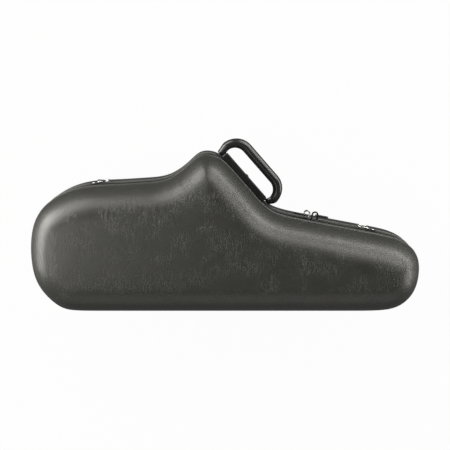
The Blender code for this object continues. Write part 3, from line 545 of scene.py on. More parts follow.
def cloth_material(name, dark, light, along, across, slant, depth, stripes=0.0):
    """Woven cloth on the piece's own map, with shade painted in the weave's valleys; stripes gives
    faint lighter lines along it.
    """
    material, tree, shader = start_material(name, 0.85, Sheen_Weight=0.06,
                                            Specular_IOR_Level=0.25)
    flat = map_of(tree)
    threads = effect(tree, weave_group, Vector=flat, Along=along, Across=across, Slant=slant)
    marks = effect(tree, handling_group, Vector=place_of(tree), Scale=40.0)
    # Painted shade in the weave's valleys, times a random tone of the cloth.
    valley_shade_and_tone = maths(tree, "MULTIPLY", maths(tree, "SUBTRACT", 1.0, threads["Valley"]),
                span(tree, marks["Cloud"], 0.3, 0.7, 0.6, 1.0))
    if stripes:
        rise = node(tree, "ShaderNodeSeparateXYZ", {"Vector": flat}).outputs["Y"]
        wave = maths(tree, "SINE", maths(tree, "MULTIPLY", rise, 2 * math.pi / 0.0035))
        valley_shade_and_tone = maths(tree, "ADD", valley_shade_and_tone, maths(tree, "MULTIPLY", wave, stripes), True)
    tint(tree, shader, dark, light, valley_shade_and_tone)
    raise_bumps(tree, shader, [(threads["Height"], depth, 0.8)])
    return material


piping_with_painted_highlight = piping_material()
band_cloth = cloth_material("band cloth", (0.013, 0.013, 0.0135), (0.058, 0.059, 0.058),
                            0.0012, 0.0010, 0.5, 0.0003, 0.25)
zip_cloth = cloth_material("zip tape", (0.0065, 0.0065, 0.0065), (0.029, 0.029, 0.030),
                           0.0008, 0.0008, 1.0, 0.0002)
hinge_cloth = cloth_material("hinge cloth", (0.013, 0.013, 0.013), (0.048, 0.048, 0.050),
                             0.0010, 0.0008, 0.0, 0.00025)
webbing = cloth_material("webbing", (0.010, 0.010, 0.010), (0.042, 0.042, 0.043),
                         0.0016, 0.0012, 0.5, 0.0004)
print("materials:", [material.name for material in bpy.data.materials])


# %% Moulded teeth and thread
def plain_material(name, dark, light, roughness, depth, scale=300.0, metallic=0.0, **constants):
    """A moulded or plated finish with a little unevenness in tone, gloss and surface."""
    material, tree, shader = start_material(name, roughness, metallic, **constants)
    place = place_of(tree)
    marks = effect(tree, handling_group, Vector=place, Scale=scale / 10)
    tint(tree, shader, dark, light, marks["Cloud"])
    rough = span(tree, marks["Cloud"], 0.3, 0.7, roughness * 0.85, roughness * 1.2)
    tree.links.new(rough, shader.inputs["Roughness"])
    if depth:
        raise_bumps(tree, shader, [(noise(tree, place, scale * 4, 3.0), depth, 0.5)])
    return material


tooth_plastic = plain_material("moulded teeth", (0.013, 0.013, 0.014), (0.026, 0.026, 0.027),
                               0.35, 0.00005)
thread = plain_material("stitching thread", (0.029, 0.029, 0.028), (0.058, 0.058, 0.056),
                        0.75, 0.0001)
chrome = plain_material("bright plating", (0.74, 0.745, 0.75), (0.90, 0.905, 0.91),
                        0.18, 0.00001, metallic=1.0)
steel = plain_material("zinc plating", (0.43, 0.43, 0.44), (0.58, 0.58, 0.59),
                       0.34, 0.00005, metallic=1.0)
dark_plating = plain_material("dark plating", (0.048, 0.048, 0.050), (0.088, 0.088, 0.091),
                              0.32, 0.00003, metallic=1.0)
grip_black = plain_material("glossy grip", (0.010, 0.010, 0.010), (0.018, 0.018, 0.018),
                            0.24, 0.0, 60.0, Specular_IOR_Level=0.95)
bar_black = plain_material("moulded bar", (0.010, 0.010, 0.010), (0.019, 0.019, 0.018),
                           0.5, 0.00012, 250.0)
pull_black = plain_material("dark pull", (0.013, 0.013, 0.013), (0.024, 0.024, 0.024),
                            0.3, 0.00005)
print("materials now:", len(bpy.data.materials))


# %% Plush that lines the inside
def plush_material():
    material, tree, shader = start_material("plush", 0.95, Sheen_Weight=0.35,
                                            Specular_IOR_Level=0.15)
    place = place_of(tree)
    pile = noise(tree, place, 1400.0, 3.0, 0.7)
    brushed = noise(tree, stretched(tree, place, (12.0, 30.0, 20.0)), 1.0, 3.0, 0.55)
    tint(tree, shader, (0.021, 0.021, 0.026), (0.067, 0.067, 0.077),
         maths(tree, "ADD", maths(tree, "MULTIPLY", brushed, 0.7),
               maths(tree, "MULTIPLY", pile, 0.3)))
    raise_bumps(tree, shader, [(brushed, 0.0012, 0.3), (pile, 0.0005, 0.8)])
    return material


plush = plush_material()
print("material:", plush.name)

# %% [markdown]
# Each shell is a rounded half. From the seam, the wall first rolls over a narrow lip, dips into
# a shallow groove and stands straight for a little way. Then it turns over in a wide arc. The
# turn draws every point inwards along its normal at first and towards a line down the middle
# later, so the rings stay even where the outline bends in. Rings lie close where the arc is
# steep.

# %% The turn of a shell
WALL = 0.004
DOME_REACH = 0.040
LAST_SHARE = 0.84
FADE_FROM_SHARE = 0.62
SPINE_SHARES = ((-0.34, 0.40), (0.40, 0.235))
OUTLINE_LENGTH = 0.6575
OUTLINE_WIDTH = 0.2658


def spine():
    """The line that a dome closes towards, one point for each sample of the outline."""
    low_y = float(rim[:, 1].min())
    left, right = [np.array((x * OUTLINE_LENGTH, low_y + y * OUTLINE_WIDTH))
                   for x, y in SPINE_SHARES]
    return left + (right - left) * (outline[:, :1] / OUTLINE_LENGTH + 0.5)


def edge_distance(points):
    """Distance of each plan point to the outline."""
    run = np.roll(outline, -1, axis=0) - outline
    offset = points[:, None, :] - outline[None, :, :]
    share = np.clip((offset * run).sum(2) / (run * run).sum(1), 0, 1)
    return np.linalg.norm(offset - share[:, :, None] * run, axis=2).min(axis=1)


def smooth_step(value):
    value = np.clip(value, 0, 1)
    return value * value * (3 - 2 * value)


def dome_rings(side, straight, rounding, crown, depth, inset, face_inset, count):
    """Rings from the top of the straight wall to the flat of the face."""
    turn = SEAM_HALF + straight
    rise = depth - turn - crown
    rings = []
    for k in range(1, count + 1):
        t = LAST_SHARE * (1 - math.cos(math.pi / 2 * k / count))
        plan = (1 - t * t) * outline - 2 * t * (1 - t) * normals * DOME_REACH + t * t * spine()
        fade = 1 - smooth_step((t - FADE_FROM_SHARE) / (LAST_SHARE - FADE_FROM_SHARE))
        slack = np.clip(1 - edge_distance(plan) / rounding, 0, 1) * fade
        plan = plan - normals * inset * slack[:, None]
        height = turn + (rise - face_inset) * np.sqrt(1 - slack**2)
        height = height + crown * smooth_step(t / LAST_SHARE)
        rings.append(np.column_stack([plan, PARTING + side * height]))
    return rings


FRONT_HALF = {"side": 1, "straight": 0.008, "rounding": 0.050, "crown": 0.004,
              "depth": FRONT_DEPTH}
REAR_HALF = {"side": -1, "straight": 0.028, "rounding": 0.042, "crown": 0.0,
             "depth": REAR_DEPTH}
LIP_PROFILE = [(-0.0038, 0.0), (-0.0006, 0.0), (0.0001, 0.00015), (0.00055, 0.0006),
               (0.00068, 0.0013), (0.00050, 0.0019), (-0.0001, 0.0023), (-0.0009, 0.0026),
               (-0.0013, 0.0031), (-0.0014, 0.0038), (-0.0011, 0.0047), (-0.0006, 0.0058),
               (-0.0002, 0.0069)]
print("depths: front %.3f, rear %.3f" % (FRONT_DEPTH, REAR_DEPTH))


# %% Model both shells
def shell(name, half, body):
    """Inner face, rim, lip, straight wall and domed face of one half, closed at the top."""
    side = half["side"]
    inner = dome_rings(**half, inset=WALL, face_inset=WALL, count=14)[::-1]
    inner.append(ring_at(-WALL, side * (SEAM_HALF + half["straight"])))
    lip = [ring_at(out, side * (SEAM_HALF + up)) for out, up in LIP_PROFILE]
    wall = [ring_at(0, side * (SEAM_HALF + half["straight"]))]
    outer = dome_rings(**half, inset=0, face_inset=0, count=34)
    bm = loft_mesh(inner + lip + wall + outer, lengths, True, False)
    return hang(add_piece(name + "_film", bm, film), body, "shell", name)


front = shell("front_shell", FRONT_HALF, "lid")
shell("rear_shell", REAR_HALF, "base")
print("faces in the front shell:", len(front.data.polygons))

# %% [markdown]
# Two thin rolled edges run round the case, between each shell and the band. They are tubes on
# the outline. The band itself is a woven strip, slightly crowned, which the zip opening splits
# in two. Both are lofted from the shells' own outline, so no gap opens between them and the lip.

# %% Rolled edges
PIPING_SIDES = 12


def piping(name, body):
    """A tube on the outline, as thick as its solid and as far out."""
    low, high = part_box(name)
    radius = (high.z - low.z) / 2
    height = (low.z + high.z) / 2 - PARTING
    out = outline[:, 0].min() - low.x - radius
    angles = [2 * math.pi * k / PIPING_SIDES for k in range(PIPING_SIDES)]
    rings = [ring_at(out + radius * math.cos(a), height + radius * math.sin(a)) for a in angles]
    piece = add_piece(name + "_roll", loft_mesh(rings, lengths, True, True), piping_with_painted_highlight)
    return hang(piece, body, "piping", name)


for prefix, _, body in HALVES:
    print("made", piping(prefix + "_piping", body).name)


# %% Woven band
BAND_CROWN = 0.0004
BAND_INNER = 0.0022


def strip_profile(low, high, outer, inner, crown=0.0, edge=0.0003):
    """A strip's section: its outer face is crowned, and its corners are rounded."""
    middle_height = (low + high) / 2
    half = (high - low) / 2
    points = []
    for k in range(9):
        share = -1 + k / 4
        points.append((outer - crown * share**2 - edge * (abs(share) == 1),
                       middle_height + half * share))
    points.append((inner + edge, high))
    points += [(inner, high - edge), (inner, low + edge), (inner + edge, low)]
    return points


def band(name, side, body):
    near, far = reach_from_parting(name)
    profile = strip_profile(near, far, -BAND_CROWN, -BAND_INNER, BAND_CROWN)
    rings = [ring_at(out, side * up) for out, up in profile]
    piece = add_piece(name + "_weave", loft_mesh(rings, lengths, True, True), band_cloth)
    return hang(piece, body, "band", name)


for prefix, side, body in HALVES:
    band(prefix + "_band", side, body)

# %% [markdown]
# The zip is two tapes with a row of moulded teeth each. The teeth of one row stand in the gaps
# of the other, so the rows are set half a pitch apart. A stitch or a tooth is modelled once
# with a few faces and copied along the outline into one mesh.

# %% Copy a small shape along the outline
def repeat_along(name, shape, distances, out, height, material):
    """Copy a small bmesh shape along the outline; its X runs along, Y out and Z up."""
    pattern = bpy.data.meshes.new(name + "_pattern")
    shape.to_mesh(pattern)
    shape.free()
    bm = bmesh.new()
    for distance in distances:
        point, along, away = spot(distance)
        x, y = point + away * out
        turn = Matrix(((along[0], away[0], 0, x), (along[1], away[1], 0, y),
                       (0, 0, 1, PARTING + height), (0, 0, 0, 1)))
        first = len(bm.verts)
        bm.from_mesh(pattern)
        bm.verts.ensure_lookup_table()
        bmesh.ops.transform(bm, matrix=turn, verts=bm.verts[first:])
    bmesh.ops.recalc_face_normals(bm, faces=bm.faces)
    bpy.data.meshes.remove(pattern)
    return add_piece(name, bm, material)


TOOTH_FOOT = (0.0012, 0.0018, 0.0020)
TOOTH_FOOT_HEIGHT = 0.0026
NECK_AND_HEAD = ((0.0008, 0.75), (0.0005, 1.3))


def tooth_shape(side):
    """A foot on the tape, a neck and a wider head that reaches the parting plane."""
    bm = bmesh.new()
    bmesh.ops.create_cube(bm, size=1)
    bmesh.ops.scale(bm, vec=TOOTH_FOOT, verts=bm.verts)
    bmesh.ops.translate(bm, vec=(0, 0, side * TOOTH_FOOT_HEIGHT), verts=bm.verts)
    tip = [f for f in bm.faces if f.normal.z * side < -0.5]
    for length, narrow in NECK_AND_HEAD:
        tip = bmesh.ops.extrude_discrete_faces(bm, faces=tip)["faces"]
        corners = list(tip[0].verts)
        bmesh.ops.translate(bm, vec=(0, 0, -side * length), verts=corners)
        centre = tip[0].calc_center_median()
        bmesh.ops.scale(bm, vec=(narrow, narrow, 1), verts=corners,
                        space=Matrix.Translation(-centre))
    return bm


# %% Zip tapes and teeth
STOP_HALF = 0.0034
PITCH = 0.0024
TAPE_OUTER = -0.0025
TAPE_INNER = -0.0035
TEETH_OUT = -0.0030
TAPE_STATIONS = 620


def zip_half(prefix, side, body):
    """One tape with its row of teeth, between the two stops."""
    first, last = zip_from + STOP_HALF, (zip_to - STOP_HALF) % total
    line, away, stations = stretch_of(first, last, TAPE_STATIONS)
    name = prefix + "_zip_tape"
    near, far = reach_from_parting(name)
    profile = strip_profile(near, far, TAPE_OUTER, TAPE_INNER, edge=0.0001)
    rings = [ring_at(out, side * up, line, away) for out, up in profile]
    tape = add_piece(name + "_weave", loft_mesh(rings, stations, False, True), zip_cloth)
    hang(tape, body, "zip", name)
    shift = PITCH / 4 * side
    count = int((stations[-1] - PITCH) / PITCH)
    places = [first + PITCH / 2 + shift + k * PITCH for k in range(count)]
    teeth = repeat_along(prefix + "_teeth", tooth_shape(side), places, TEETH_OUT, 0.0,
                         tooth_plastic)
    hang(teeth, body, "zip", prefix + "_zip_teeth")
    return count


for prefix, side, body in HALVES:
    print(prefix, "teeth:", zip_half(prefix, side, body))


# %% Stitches on the band
STITCH_SIZE = (0.0026, 0.0007, 0.0006)
STITCH_PITCH = 0.0038
STITCH_EDGE = 0.0016
STITCH_OUT = -BAND_CROWN * 1.5


def stitch_shape():
    """A short raised thread that dips into the cloth at both ends."""
    bm = bmesh.new()
    bmesh.ops.create_uvsphere(bm, u_segments=6, v_segments=4, radius=0.5)
    bmesh.ops.scale(bm, vec=STITCH_SIZE, verts=bm.verts)
    return bm


def band_stitches(prefix, side, body):
    """Two rows of stitches on one band, near its two edges."""
    near, far = reach_from_parting(prefix + "_band")
    count = int(total / STITCH_PITCH)
    places = [k * total / count for k in range(count)]
    for label, height in (("inner", near + STITCH_EDGE), ("outer", far - STITCH_EDGE)):
        row = repeat_along("%s_band_%s_stitches" % (prefix, label), stitch_shape(), places,
                           STITCH_OUT, side * height, thread)
        hang(row, body, "band")
    return count


for prefix, side, body in HALVES:
    print(prefix, "stitches in a row:", band_stitches(prefix, side, body))

# %% [markdown]
# On the straight side the zip stops, and a strip of strong cloth takes its place as the hinge.
# It is one strip sewn inside both bands, across the parting between the two halves.
# Rings lie close together in the middle, where it folds.

# %% Hinge cloth
HINGE_STATIONS = 240
FOLD_STEP = 0.0005


def hinge():
    """Make the cloth; returns its length and its flat width."""
    first, last = zip_to + STOP_HALF, (zip_from - STOP_HALF) % total
    line, away, stations = stretch_of(first, last, HINGE_STATIONS)
    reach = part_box("front_hinge_tape")[1].z - PARTING
    heights = sorted({round(reach * k / 8, 6) for k in range(-8, 9)}
                     | {FOLD_STEP * k for k in range(-8, 9)})
    outer = [(TAPE_OUTER, height) for height in heights]
    inner = [(TAPE_INNER, height) for height in reversed(heights)]
    rings = [ring_at(out, up, line, away) for out, up in outer + inner]
    piece = add_piece("hinge_cloth", loft_mesh(rings, stations, False, True), hinge_cloth)
    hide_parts("front_hinge_tape", "rear_hinge_tape")
    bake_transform(piece)
    return stations[-1], 2 * reach


print("hinge cloth: %.3f x %.4f m" % hinge())

# %% [markdown]
# Inside, each half is lined with foam under plush. The liner follows the shell's rings further
# in, and its rim is a soft roll.

# %% Liners
LINER_INSET = 0.0065
LINER_THICKNESS = 0.009
LINER_RIM = 0.008
LINER_FACE_INSET = 0.0046


def liner(name, half, body):
    """Foam under plush: its inner face, the roll at its rim and its back."""
    side = half["side"]
    radius = LINER_THICKNESS / 2
    inner_inset = LINER_INSET + LINER_THICKNESS
    inner = dome_rings(**half, inset=inner_inset, face_inset=LINER_FACE_INSET + LINER_THICKNESS,
                       count=18)[::-1]
    roll = [ring_at(-LINER_INSET - radius - radius * math.cos(math.pi * k / 8),
                    side * (LINER_RIM + radius - radius * math.sin(math.pi * k / 8)))
            for k in range(9)]
    outer = dome_rings(**half, inset=LINER_INSET, face_inset=LINER_FACE_INSET, count=12)
    wall_top = side * (SEAM_HALF + half["straight"])
    rings = inner + [ring_at(-inner_inset, wall_top)] + roll + [ring_at(-LINER_INSET, wall_top)]
    piece = add_piece(name + "_plush", loft_mesh(rings + outer, lengths, True, False), plush)
    return hang(piece, body, "plush", name)


for name, half, body in (("rear_liner", REAR_HALF, "base"), ("front_liner", FRONT_HALF, "lid")):
    print("made", liner(name, half, body).name)

# %% [markdown]
# The foam blocks, the box and the pads are soft shapes with known places. Their solids are
# merged, remeshed at a few millimetres and relaxed, which rounds the corners as foam under
# cloth is rounded.

# %% Foam shapes from their solids
def soft_copy(node_name, voxel, passes):
    """A remeshed and relaxed copy of a CAD solid."""
    bm = bmesh.new()
    bm.from_mesh(nodes[node_name].data)
    bmesh.ops.remove_doubles(bm, verts=bm.verts, dist=WELD)
    raw = add_piece(node_name + "_raw", bm)
    remesh = raw.modifiers.new("remesh", "REMESH")
    remesh.mode = "VOXEL"
    remesh.voxel_size = voxel
    graph = bpy.context.evaluated_depsgraph_get()
    bm = bmesh.new()
    bm.from_mesh(bpy.data.meshes.new_from_object(raw.evaluated_get(graph)))
    bpy.data.objects.remove(raw)
    for _ in range(passes):
        bmesh.ops.smooth_vert(bm, verts=bm.verts, factor=0.5, use_axis_x=True,
                              use_axis_y=True, use_axis_z=True)
    return bm


def foam(node_name, body, voxel=0.003, passes=3):
    """A plush piece; thin walls need a small voxel, and soft pads more passes."""
    piece = add_piece(node_name + "_plush", soft_copy(node_name, voxel, passes), plush, math.pi)
    return hang(piece, body, "plush", node_name)


for name in ("bow_block", "bell_block", "body_block", "neck_end_block", "bell_stop_block"):
    foam(name, "base")
for name in ("lid_pad_body", "lid_pad_bell"):
    foam(name, "lid", passes=6)
foam("accessory_box", "base", voxel=0.0015, passes=2)
foam("accessory_lid", "accessory_cover", voxel=0.0012, passes=2)

# %% [markdown]
# The strap that holds the instrument has two halves of flat webbing. Webbing keeps its
# thickness and has round edges, so each half is a flattened tube and not a bare plane.

# %% Straps
STRAP_SIDES = 16
FULL_WIDTH = 1.06
FULL_HEIGHT = 1.6


def flattened(value, fullness):
    """Push a sine or cosine outwards and cut it off at 1, which squares a round section."""
    return math.copysign(min(1, abs(fullness * value)), value)


def strap(name, node_name):
    """A flat woven strip that fills a CAD box and runs along Y."""
    low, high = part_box(node_name)
    steps = np.linspace(0, 1, 24)
    half = (high - low) / 2
    centre = (low + high) / 2
    length = high.y - low.y
    rings = []
    for k in range(STRAP_SIDES):
        angle = 2 * math.pi * k / STRAP_SIDES
        ring = np.zeros((len(steps), 3))
        ring[:, 0] = centre.x + flattened(math.cos(angle), FULL_WIDTH) * half.x
        ring[:, 1] = low.y + steps * length
        ring[:, 2] = centre.z + flattened(math.sin(angle), FULL_HEIGHT) * half.z
        rings.append(ring)
    piece = add_piece(name, loft_mesh(rings, steps * length, False, True), webbing)
    return hang(piece, "base", "webbing", node_name)


for side_name in ("hinge_side", "bell_side"):
    print("made", strap(side_name + "_strap", "strap_" + side_name).name)

# %% [markdown]
# The metal and moulded fittings are small, so they are modelled about their own seat on the
# outline, with X along the band, Y out of it and Z up, and then moved into place. Wires, the
# grip, the bail and the plate's curl are all one section swept along a flat path.

# %% A seat on the outline
def seat_frame(x, y, height):
    """A matrix whose origin is on the outline nearest to a plan point, at a height."""
    point, along, away = spot(distance_to(x, y))
    return Matrix(((along[0], away[0], 0, point[0]), (along[1], away[1], 0, point[1]),
                   (0, 0, 1, height), (0, 0, 0, 1)))


def spans_in(node_name, seat):
    """The lowest and highest corner of a CAD node in a seat's own axes."""
    back = seat.inverted()
    local = np.array([back @ vert.co for vert in nodes[node_name].data.vertices])
    return local.min(axis=0), local.max(axis=0)


def seat_of(node_name, height):
    """The seat under a CAD node, with its origin at the node's middle along the band."""
    seat = seat_frame(*middle(node_name).xy, height)
    low, high = spans_in(node_name, seat)
    return seat @ Matrix.Translation(((low[0] + high[0]) / 2, 0, 0))


# %% Sweep a section along a flat path
def round_section(sides, square=1.0):
    """Points round a section; square below 1 makes it fuller at its corners."""
    angles = np.linspace(0, 2 * math.pi, sides, endpoint=False) + math.pi / sides
    flat = np.column_stack([np.cos(angles), np.sin(angles)])
    return np.sign(flat) * np.abs(flat) ** square


def sweep(path, across, section, widths, depths, cyclic=False):
    """Rings along a flat path; across is the direction square to the path's plane."""
    path = np.asarray(path, dtype=float)
    ahead = np.roll(path, -1, axis=0) - np.roll(path, 1, axis=0)
    if not cyclic:
        ahead = np.gradient(path, axis=0)
    ahead /= np.linalg.norm(ahead, axis=1)[:, None]
    up = np.cross(np.array(across, dtype=float), ahead)
    widths = np.broadcast_to(widths, len(path))[:, None]
    depths = np.broadcast_to(depths, len(path))[:, None]
    rings = [path + a * widths * np.array(across) + b * depths * up for a, b in section]
    steps = np.linalg.norm(np.roll(path, -1, axis=0) - path, axis=1)
    stations = np.concatenate([[0], np.cumsum(steps)])
    return loft_mesh(rings, stations, cyclic, True)


def arc_points(centre, radius, first, last, count):
    angles = np.radians(np.linspace(first, last, count))
    return [(centre[0] + radius * math.cos(a), centre[1] + radius * math.sin(a)) for a in angles]


def place_piece(name, bm, seat, material, body, slot, *replaced):
    """Move a fitting to its seat and hang it on its body."""
    bmesh.ops.transform(bm, matrix=seat, verts=bm.verts)
    return hang(add_piece(name, bm, material), body, slot, *replaced)


# %% [markdown]
# The grip is a thick glossy tube that bends at both ends into feet. The feet narrow to toes,
# which hold the pins at the ends of the bar. A curve with a bevel can only grow or shrink its
# section evenly, so the tube is swept with a width and a depth for each row. The lower foot is
# shallow, because it swings past the rim of the case when the grip folds down.

# %% Handle grip
GRIP_RADIUS = 0.0086
GRIP_RISE = 0.0310
GRIP_STRAIGHT_HALF = 0.0350
FOOT_U = 0.0614
FOOT_WIDTH = 0.0075
BEND_DEGREES = 84
SLIM_FROM_DEGREES = 12
TOE_EASE = 0.6
TIP_EASE = 0.4
TIP_DEGREES = (25, 50, 70, 84)
TIP_DROP = 0.0030
UPPER_FOOT = (0.0086, 0.0588, -0.0082, 0.0063, 0.0068)
LOWER_FOOT = (0.0064, 0.0583, -0.0026, 0.0055, 0.0038)
PIN_DROP = 0.0036


def grip_half(foot_depth, toe_u, toe_n, toe_width, toe_depth):
    """Rows from the grip's middle to one toe: place along, place out, and two half sizes.

    The first half size lies in the plane of the grip and the second is square to it.
    """
    rows = [(u, GRIP_RISE, GRIP_RADIUS, GRIP_RADIUS)
            for u in np.linspace(0, GRIP_STRAIGHT_HALF, 9)[:-1]]
    bend_u, bend_n = FOOT_U - GRIP_STRAIGHT_HALF, GRIP_RISE - GRIP_RADIUS / 2
    for angle in np.linspace(0, BEND_DEGREES, 19):
        a = math.radians(angle)
        slim = float(smooth_step((angle - SLIM_FROM_DEGREES) / (BEND_DEGREES - SLIM_FROM_DEGREES)))
        rows.append((GRIP_STRAIGHT_HALF + bend_u * math.sin(a),
                     GRIP_RISE - bend_n * (1 - math.cos(a)),
                     GRIP_RADIUS + (FOOT_WIDTH - GRIP_RADIUS) * slim,
                     GRIP_RADIUS + (foot_depth - GRIP_RADIUS) * slim))
    last_u, last_n = rows[-1][:2]
    for share in np.linspace(0, 1, 9)[1:]:
        ease = float(smooth_step(share))
        rows.append((last_u + (toe_u - last_u) * ease, last_n + (toe_n - last_n) * share,
                     FOOT_WIDTH + (toe_width - FOOT_WIDTH) * share**TOE_EASE,
                     foot_depth + (toe_depth - foot_depth) * share))
    for angle in TIP_DEGREES:
        a = math.radians(angle)
        rows.append((toe_u, toe_n - TIP_DROP * math.sin(a), toe_width * math.cos(a) ** TIP_EASE,
                     toe_depth * math.cos(a) ** TIP_EASE))
    return rows


def handle_seat():
    """The handle's own axes: X along the bar, Y out, with Y zero on the bar's top face."""
    joint = joints["handle_fold"]
    x, y, z = joint["pos_m"]
    along = Vector(joint["axis"]).normalized()
    out = Vector((-along.y, along.x, 0))
    top = Vector((x, y, z)) + out * PIN_DROP
    return Matrix(((along.x, out.x, 0, top.x), (along.y, out.y, 0, top.y), (0, 0, 1, z),
                   (0, 0, 0, 1)))


rows = [(-u, n, w, d) for u, n, w, d in grip_half(*UPPER_FOOT)[:0:-1]]
rows += grip_half(*LOWER_FOOT)
grip_mesh = sweep([(u, n, 0) for u, n, _, _ in rows], (0, 0, 1), round_section(28),
                  [d for _, _, _, d in rows], [w for _, _, w, _ in rows])
place_piece("glossy_grip", grip_mesh, handle_seat(), grip_black, "handle", "grip", "handle_grip")
low, high = spans_in("handle_grip", handle_seat())
print("grip reach: %.4f, solid's: %.4f" % (GRIP_RISE + GRIP_RADIUS, high[1]))

# %% [markdown]
# A zip slider is two plates that hold the teeth between them, joined by a thin web. A bail on
# the outer plate carries the pull. The two sliders stand nose to nose where the zip closes. A
# plate is a cube with its rear end scaled down and its corners bevelled, which is all its cast
# shape needs. The left slider's bail is bright, and the right one's is dark.

# %% Zip sliders
SLIDER_LENGTH = 0.0130
SLIDER_TOP = 0.0016
REAR_SHARE = 0.74
CORNER = 0.0024
OUTER_PLATE = {"low": -0.0017, "high": SLIDER_TOP, "width": 0.0130, "rim": 0.0008}
INNER_PLATE = {"low": -0.0055, "high": -0.0043, "width": 0.0128, "rim": 0.0004}
WEB_SIZE = (0.0060, 0.0030, 0.0005)
BAIL_RADIUS = 0.0047
BAIL_THICK = 0.0013
BAIL_HALF_WIDTH = 0.0018
BAIL_SINK = 0.0008
BAIL_RISE = 0.002
BAIL_STRAIGHT = 0.0075


def round_edges(bm, edges, offset, segments):
    bmesh.ops.bevel(bm, geom=edges, offset=offset, segments=segments, affect="EDGES",
                    profile=0.5, material=-1)


def slider_plate(nose, low, high, width, rim):
    """A plate, wide at its nose and narrower behind, with rounded corners and rim."""
    bm = bmesh.new()
    bmesh.ops.create_cube(bm, size=1)
    bmesh.ops.scale(bm, vec=(SLIDER_LENGTH, high - low, width), verts=bm.verts)
    bmesh.ops.translate(bm, vec=(0, (low + high) / 2, 0), verts=bm.verts)
    behind = [vert for vert in bm.verts if vert.co.x * nose < 0]
    bmesh.ops.scale(bm, vec=(1, 1, REAR_SHARE), verts=behind)
    upright = [edge for edge in bm.edges
               if abs(edge.verts[0].co.y - edge.verts[1].co.y) > (high - low) / 2]
    round_edges(bm, upright, CORNER, 4)
    outer = [edge for edge in bm.edges
             if all(abs(vert.co.y - high) < WELD for vert in edge.verts)]
    round_edges(bm, outer, rim, 3)
    return bm


def add_mesh(target, source):
    """Put one bmesh into another."""
    mesh = bpy.data.meshes.new("part")
    source.to_mesh(mesh)
    source.free()
    target.from_mesh(mesh)
    bpy.data.meshes.remove(mesh)


def slider_mesh(nose):
    """Both plates, the web between them at the nose, and the bail."""
    bm = slider_plate(nose, **OUTER_PLATE)
    add_mesh(bm, slider_plate(nose, **INNER_PLATE))
    web = bmesh.new()
    bmesh.ops.create_cube(web, size=1)
    bmesh.ops.scale(web, vec=WEB_SIZE, verts=web.verts)
    bmesh.ops.translate(web, vec=(nose * WEB_SIZE[0] / 2, -WEB_SIZE[1], 0), verts=web.verts)
    add_mesh(bm, web)
    legs = [(BAIL_RADIUS, SLIDER_TOP - BAIL_SINK), (BAIL_RADIUS, SLIDER_TOP + BAIL_RISE)]
    arch = legs + arc_points((0, SLIDER_TOP + BAIL_STRAIGHT), BAIL_RADIUS, 0, 180, 17)
    arch += [(-u, v) for u, v in reversed(legs)]
    path = [(u, v, 0) for u, v in arch]
    bail = sweep(path, (0, 0, 1), round_section(12, 0.6), BAIL_HALF_WIDTH, BAIL_THICK)
    for face in bail.faces:
        face.material_index = 1
    add_mesh(bm, bail)
    return bm


for side_name, nose, bail_finish in (("left", 1, chrome), ("right", -1, dark_plating)):
    node_name = "zip_slider_" + side_name
    slider = place_piece("slider_" + side_name, slider_mesh(nose), seat_of(node_name, PARTING),
                         dark_plating, side_name + "_slider", "chrome", node_name)
    slider.data.materials.append(bail_finish)
    print(slider.name, "faces:", len(slider.data.polygons))


# %% Zip pulls
ROOT_WIDTH_SHARE = 0.8
ROOT_CHAMFER = 0.0008
SLOT_WIDTH_SHARE = 0.6
SLOT_SPAN = (0.0016, 0.0100, 0.0108)
PULL_RIM = 0.0007
RIM_ANGLE = 1.2


def pull_mesh(low, high):
    """A flat pull with a round tip and a slot; its root is at X zero, and it lies along +X."""
    length, thick, width = high[0], (high[1] - low[1]) / 2, (high[2] - low[2]) / 2
    root = low[0]
    tip = length - width
    outer = [(root, -width * ROOT_WIDTH_SHARE), (root + ROOT_CHAMFER, -width), (tip, -width)]
    outer += arc_points((tip, 0), width, -75, 75, 11)
    outer += [(tip, width), (root + ROOT_CHAMFER, width), (root, width * ROOT_WIDTH_SHARE)]
    slot = width * SLOT_WIDTH_SHARE
    first, bend, last = SLOT_SPAN
    hole = [(first, -slot), (bend, -slot), (last, -slot / 2), (last, slot / 2), (bend, slot),
            (first, slot)]
    bm = bmesh.new()
    for loop in (outer, hole):
        row = [bm.verts.new((u, 0, v)) for u, v in loop]
        for pair in zip(row, row[1:] + row[:1]):
            bm.edges.new(pair)
    bmesh.ops.triangle_fill(bm, use_beauty=True, edges=bm.edges[:])
    made = bmesh.ops.extrude_face_region(bm, geom=bm.faces[:])["geom"]
    raised = [item for item in made if isinstance(item, bmesh.types.BMVert)]
    bmesh.ops.translate(bm, vec=(0, 2 * thick, 0), verts=raised)
    bmesh.ops.translate(bm, vec=(0, -thick, 0), verts=bm.verts)
    bmesh.ops.recalc_face_normals(bm, faces=bm.faces)
    rims = [edge for edge in bm.edges if edge.is_manifold and edge.calc_face_angle() > RIM_ANGLE
            and abs(edge.verts[0].co.y - edge.verts[1].co.y) < WELD]
    round_edges(bm, rims, PULL_RIM, 3)
    return bm


def hinge_seat_of(joint_name):
    """The seat's axes, moved out of the outline to a joint's own place."""
    x, y, z = joints[joint_name]["pos_m"]
    seat = seat_frame(x, y, z)
    return Matrix.Translation(Vector((x, y, z)) - seat.translation) @ seat


def pull(side_name, side):
    """Model the pull in the axes of its hinge and set it there."""
    node_name = "zip_pull_" + side_name
    turn = Matrix.Rotation(math.pi, 4, "Z") if side < 0 else Matrix.Identity(4)
    hinge_seat = hinge_seat_of(side_name + "_pull_swing") @ turn
    low, high = spans_in(node_name, hinge_seat)
    return place_piece("pull_" + side_name, pull_mesh(low, high), hinge_seat, pull_black,
                       side_name + "_pull", "grip", node_name)


for side_name, side in (("left", -1), ("right", 1)):
    print("made", pull(side_name, side).name)

# %% [markdown]
# A strap ring is a D of round wire. Its straight side turns in the curl of a small plate, which
# a domed rivet holds to the band.

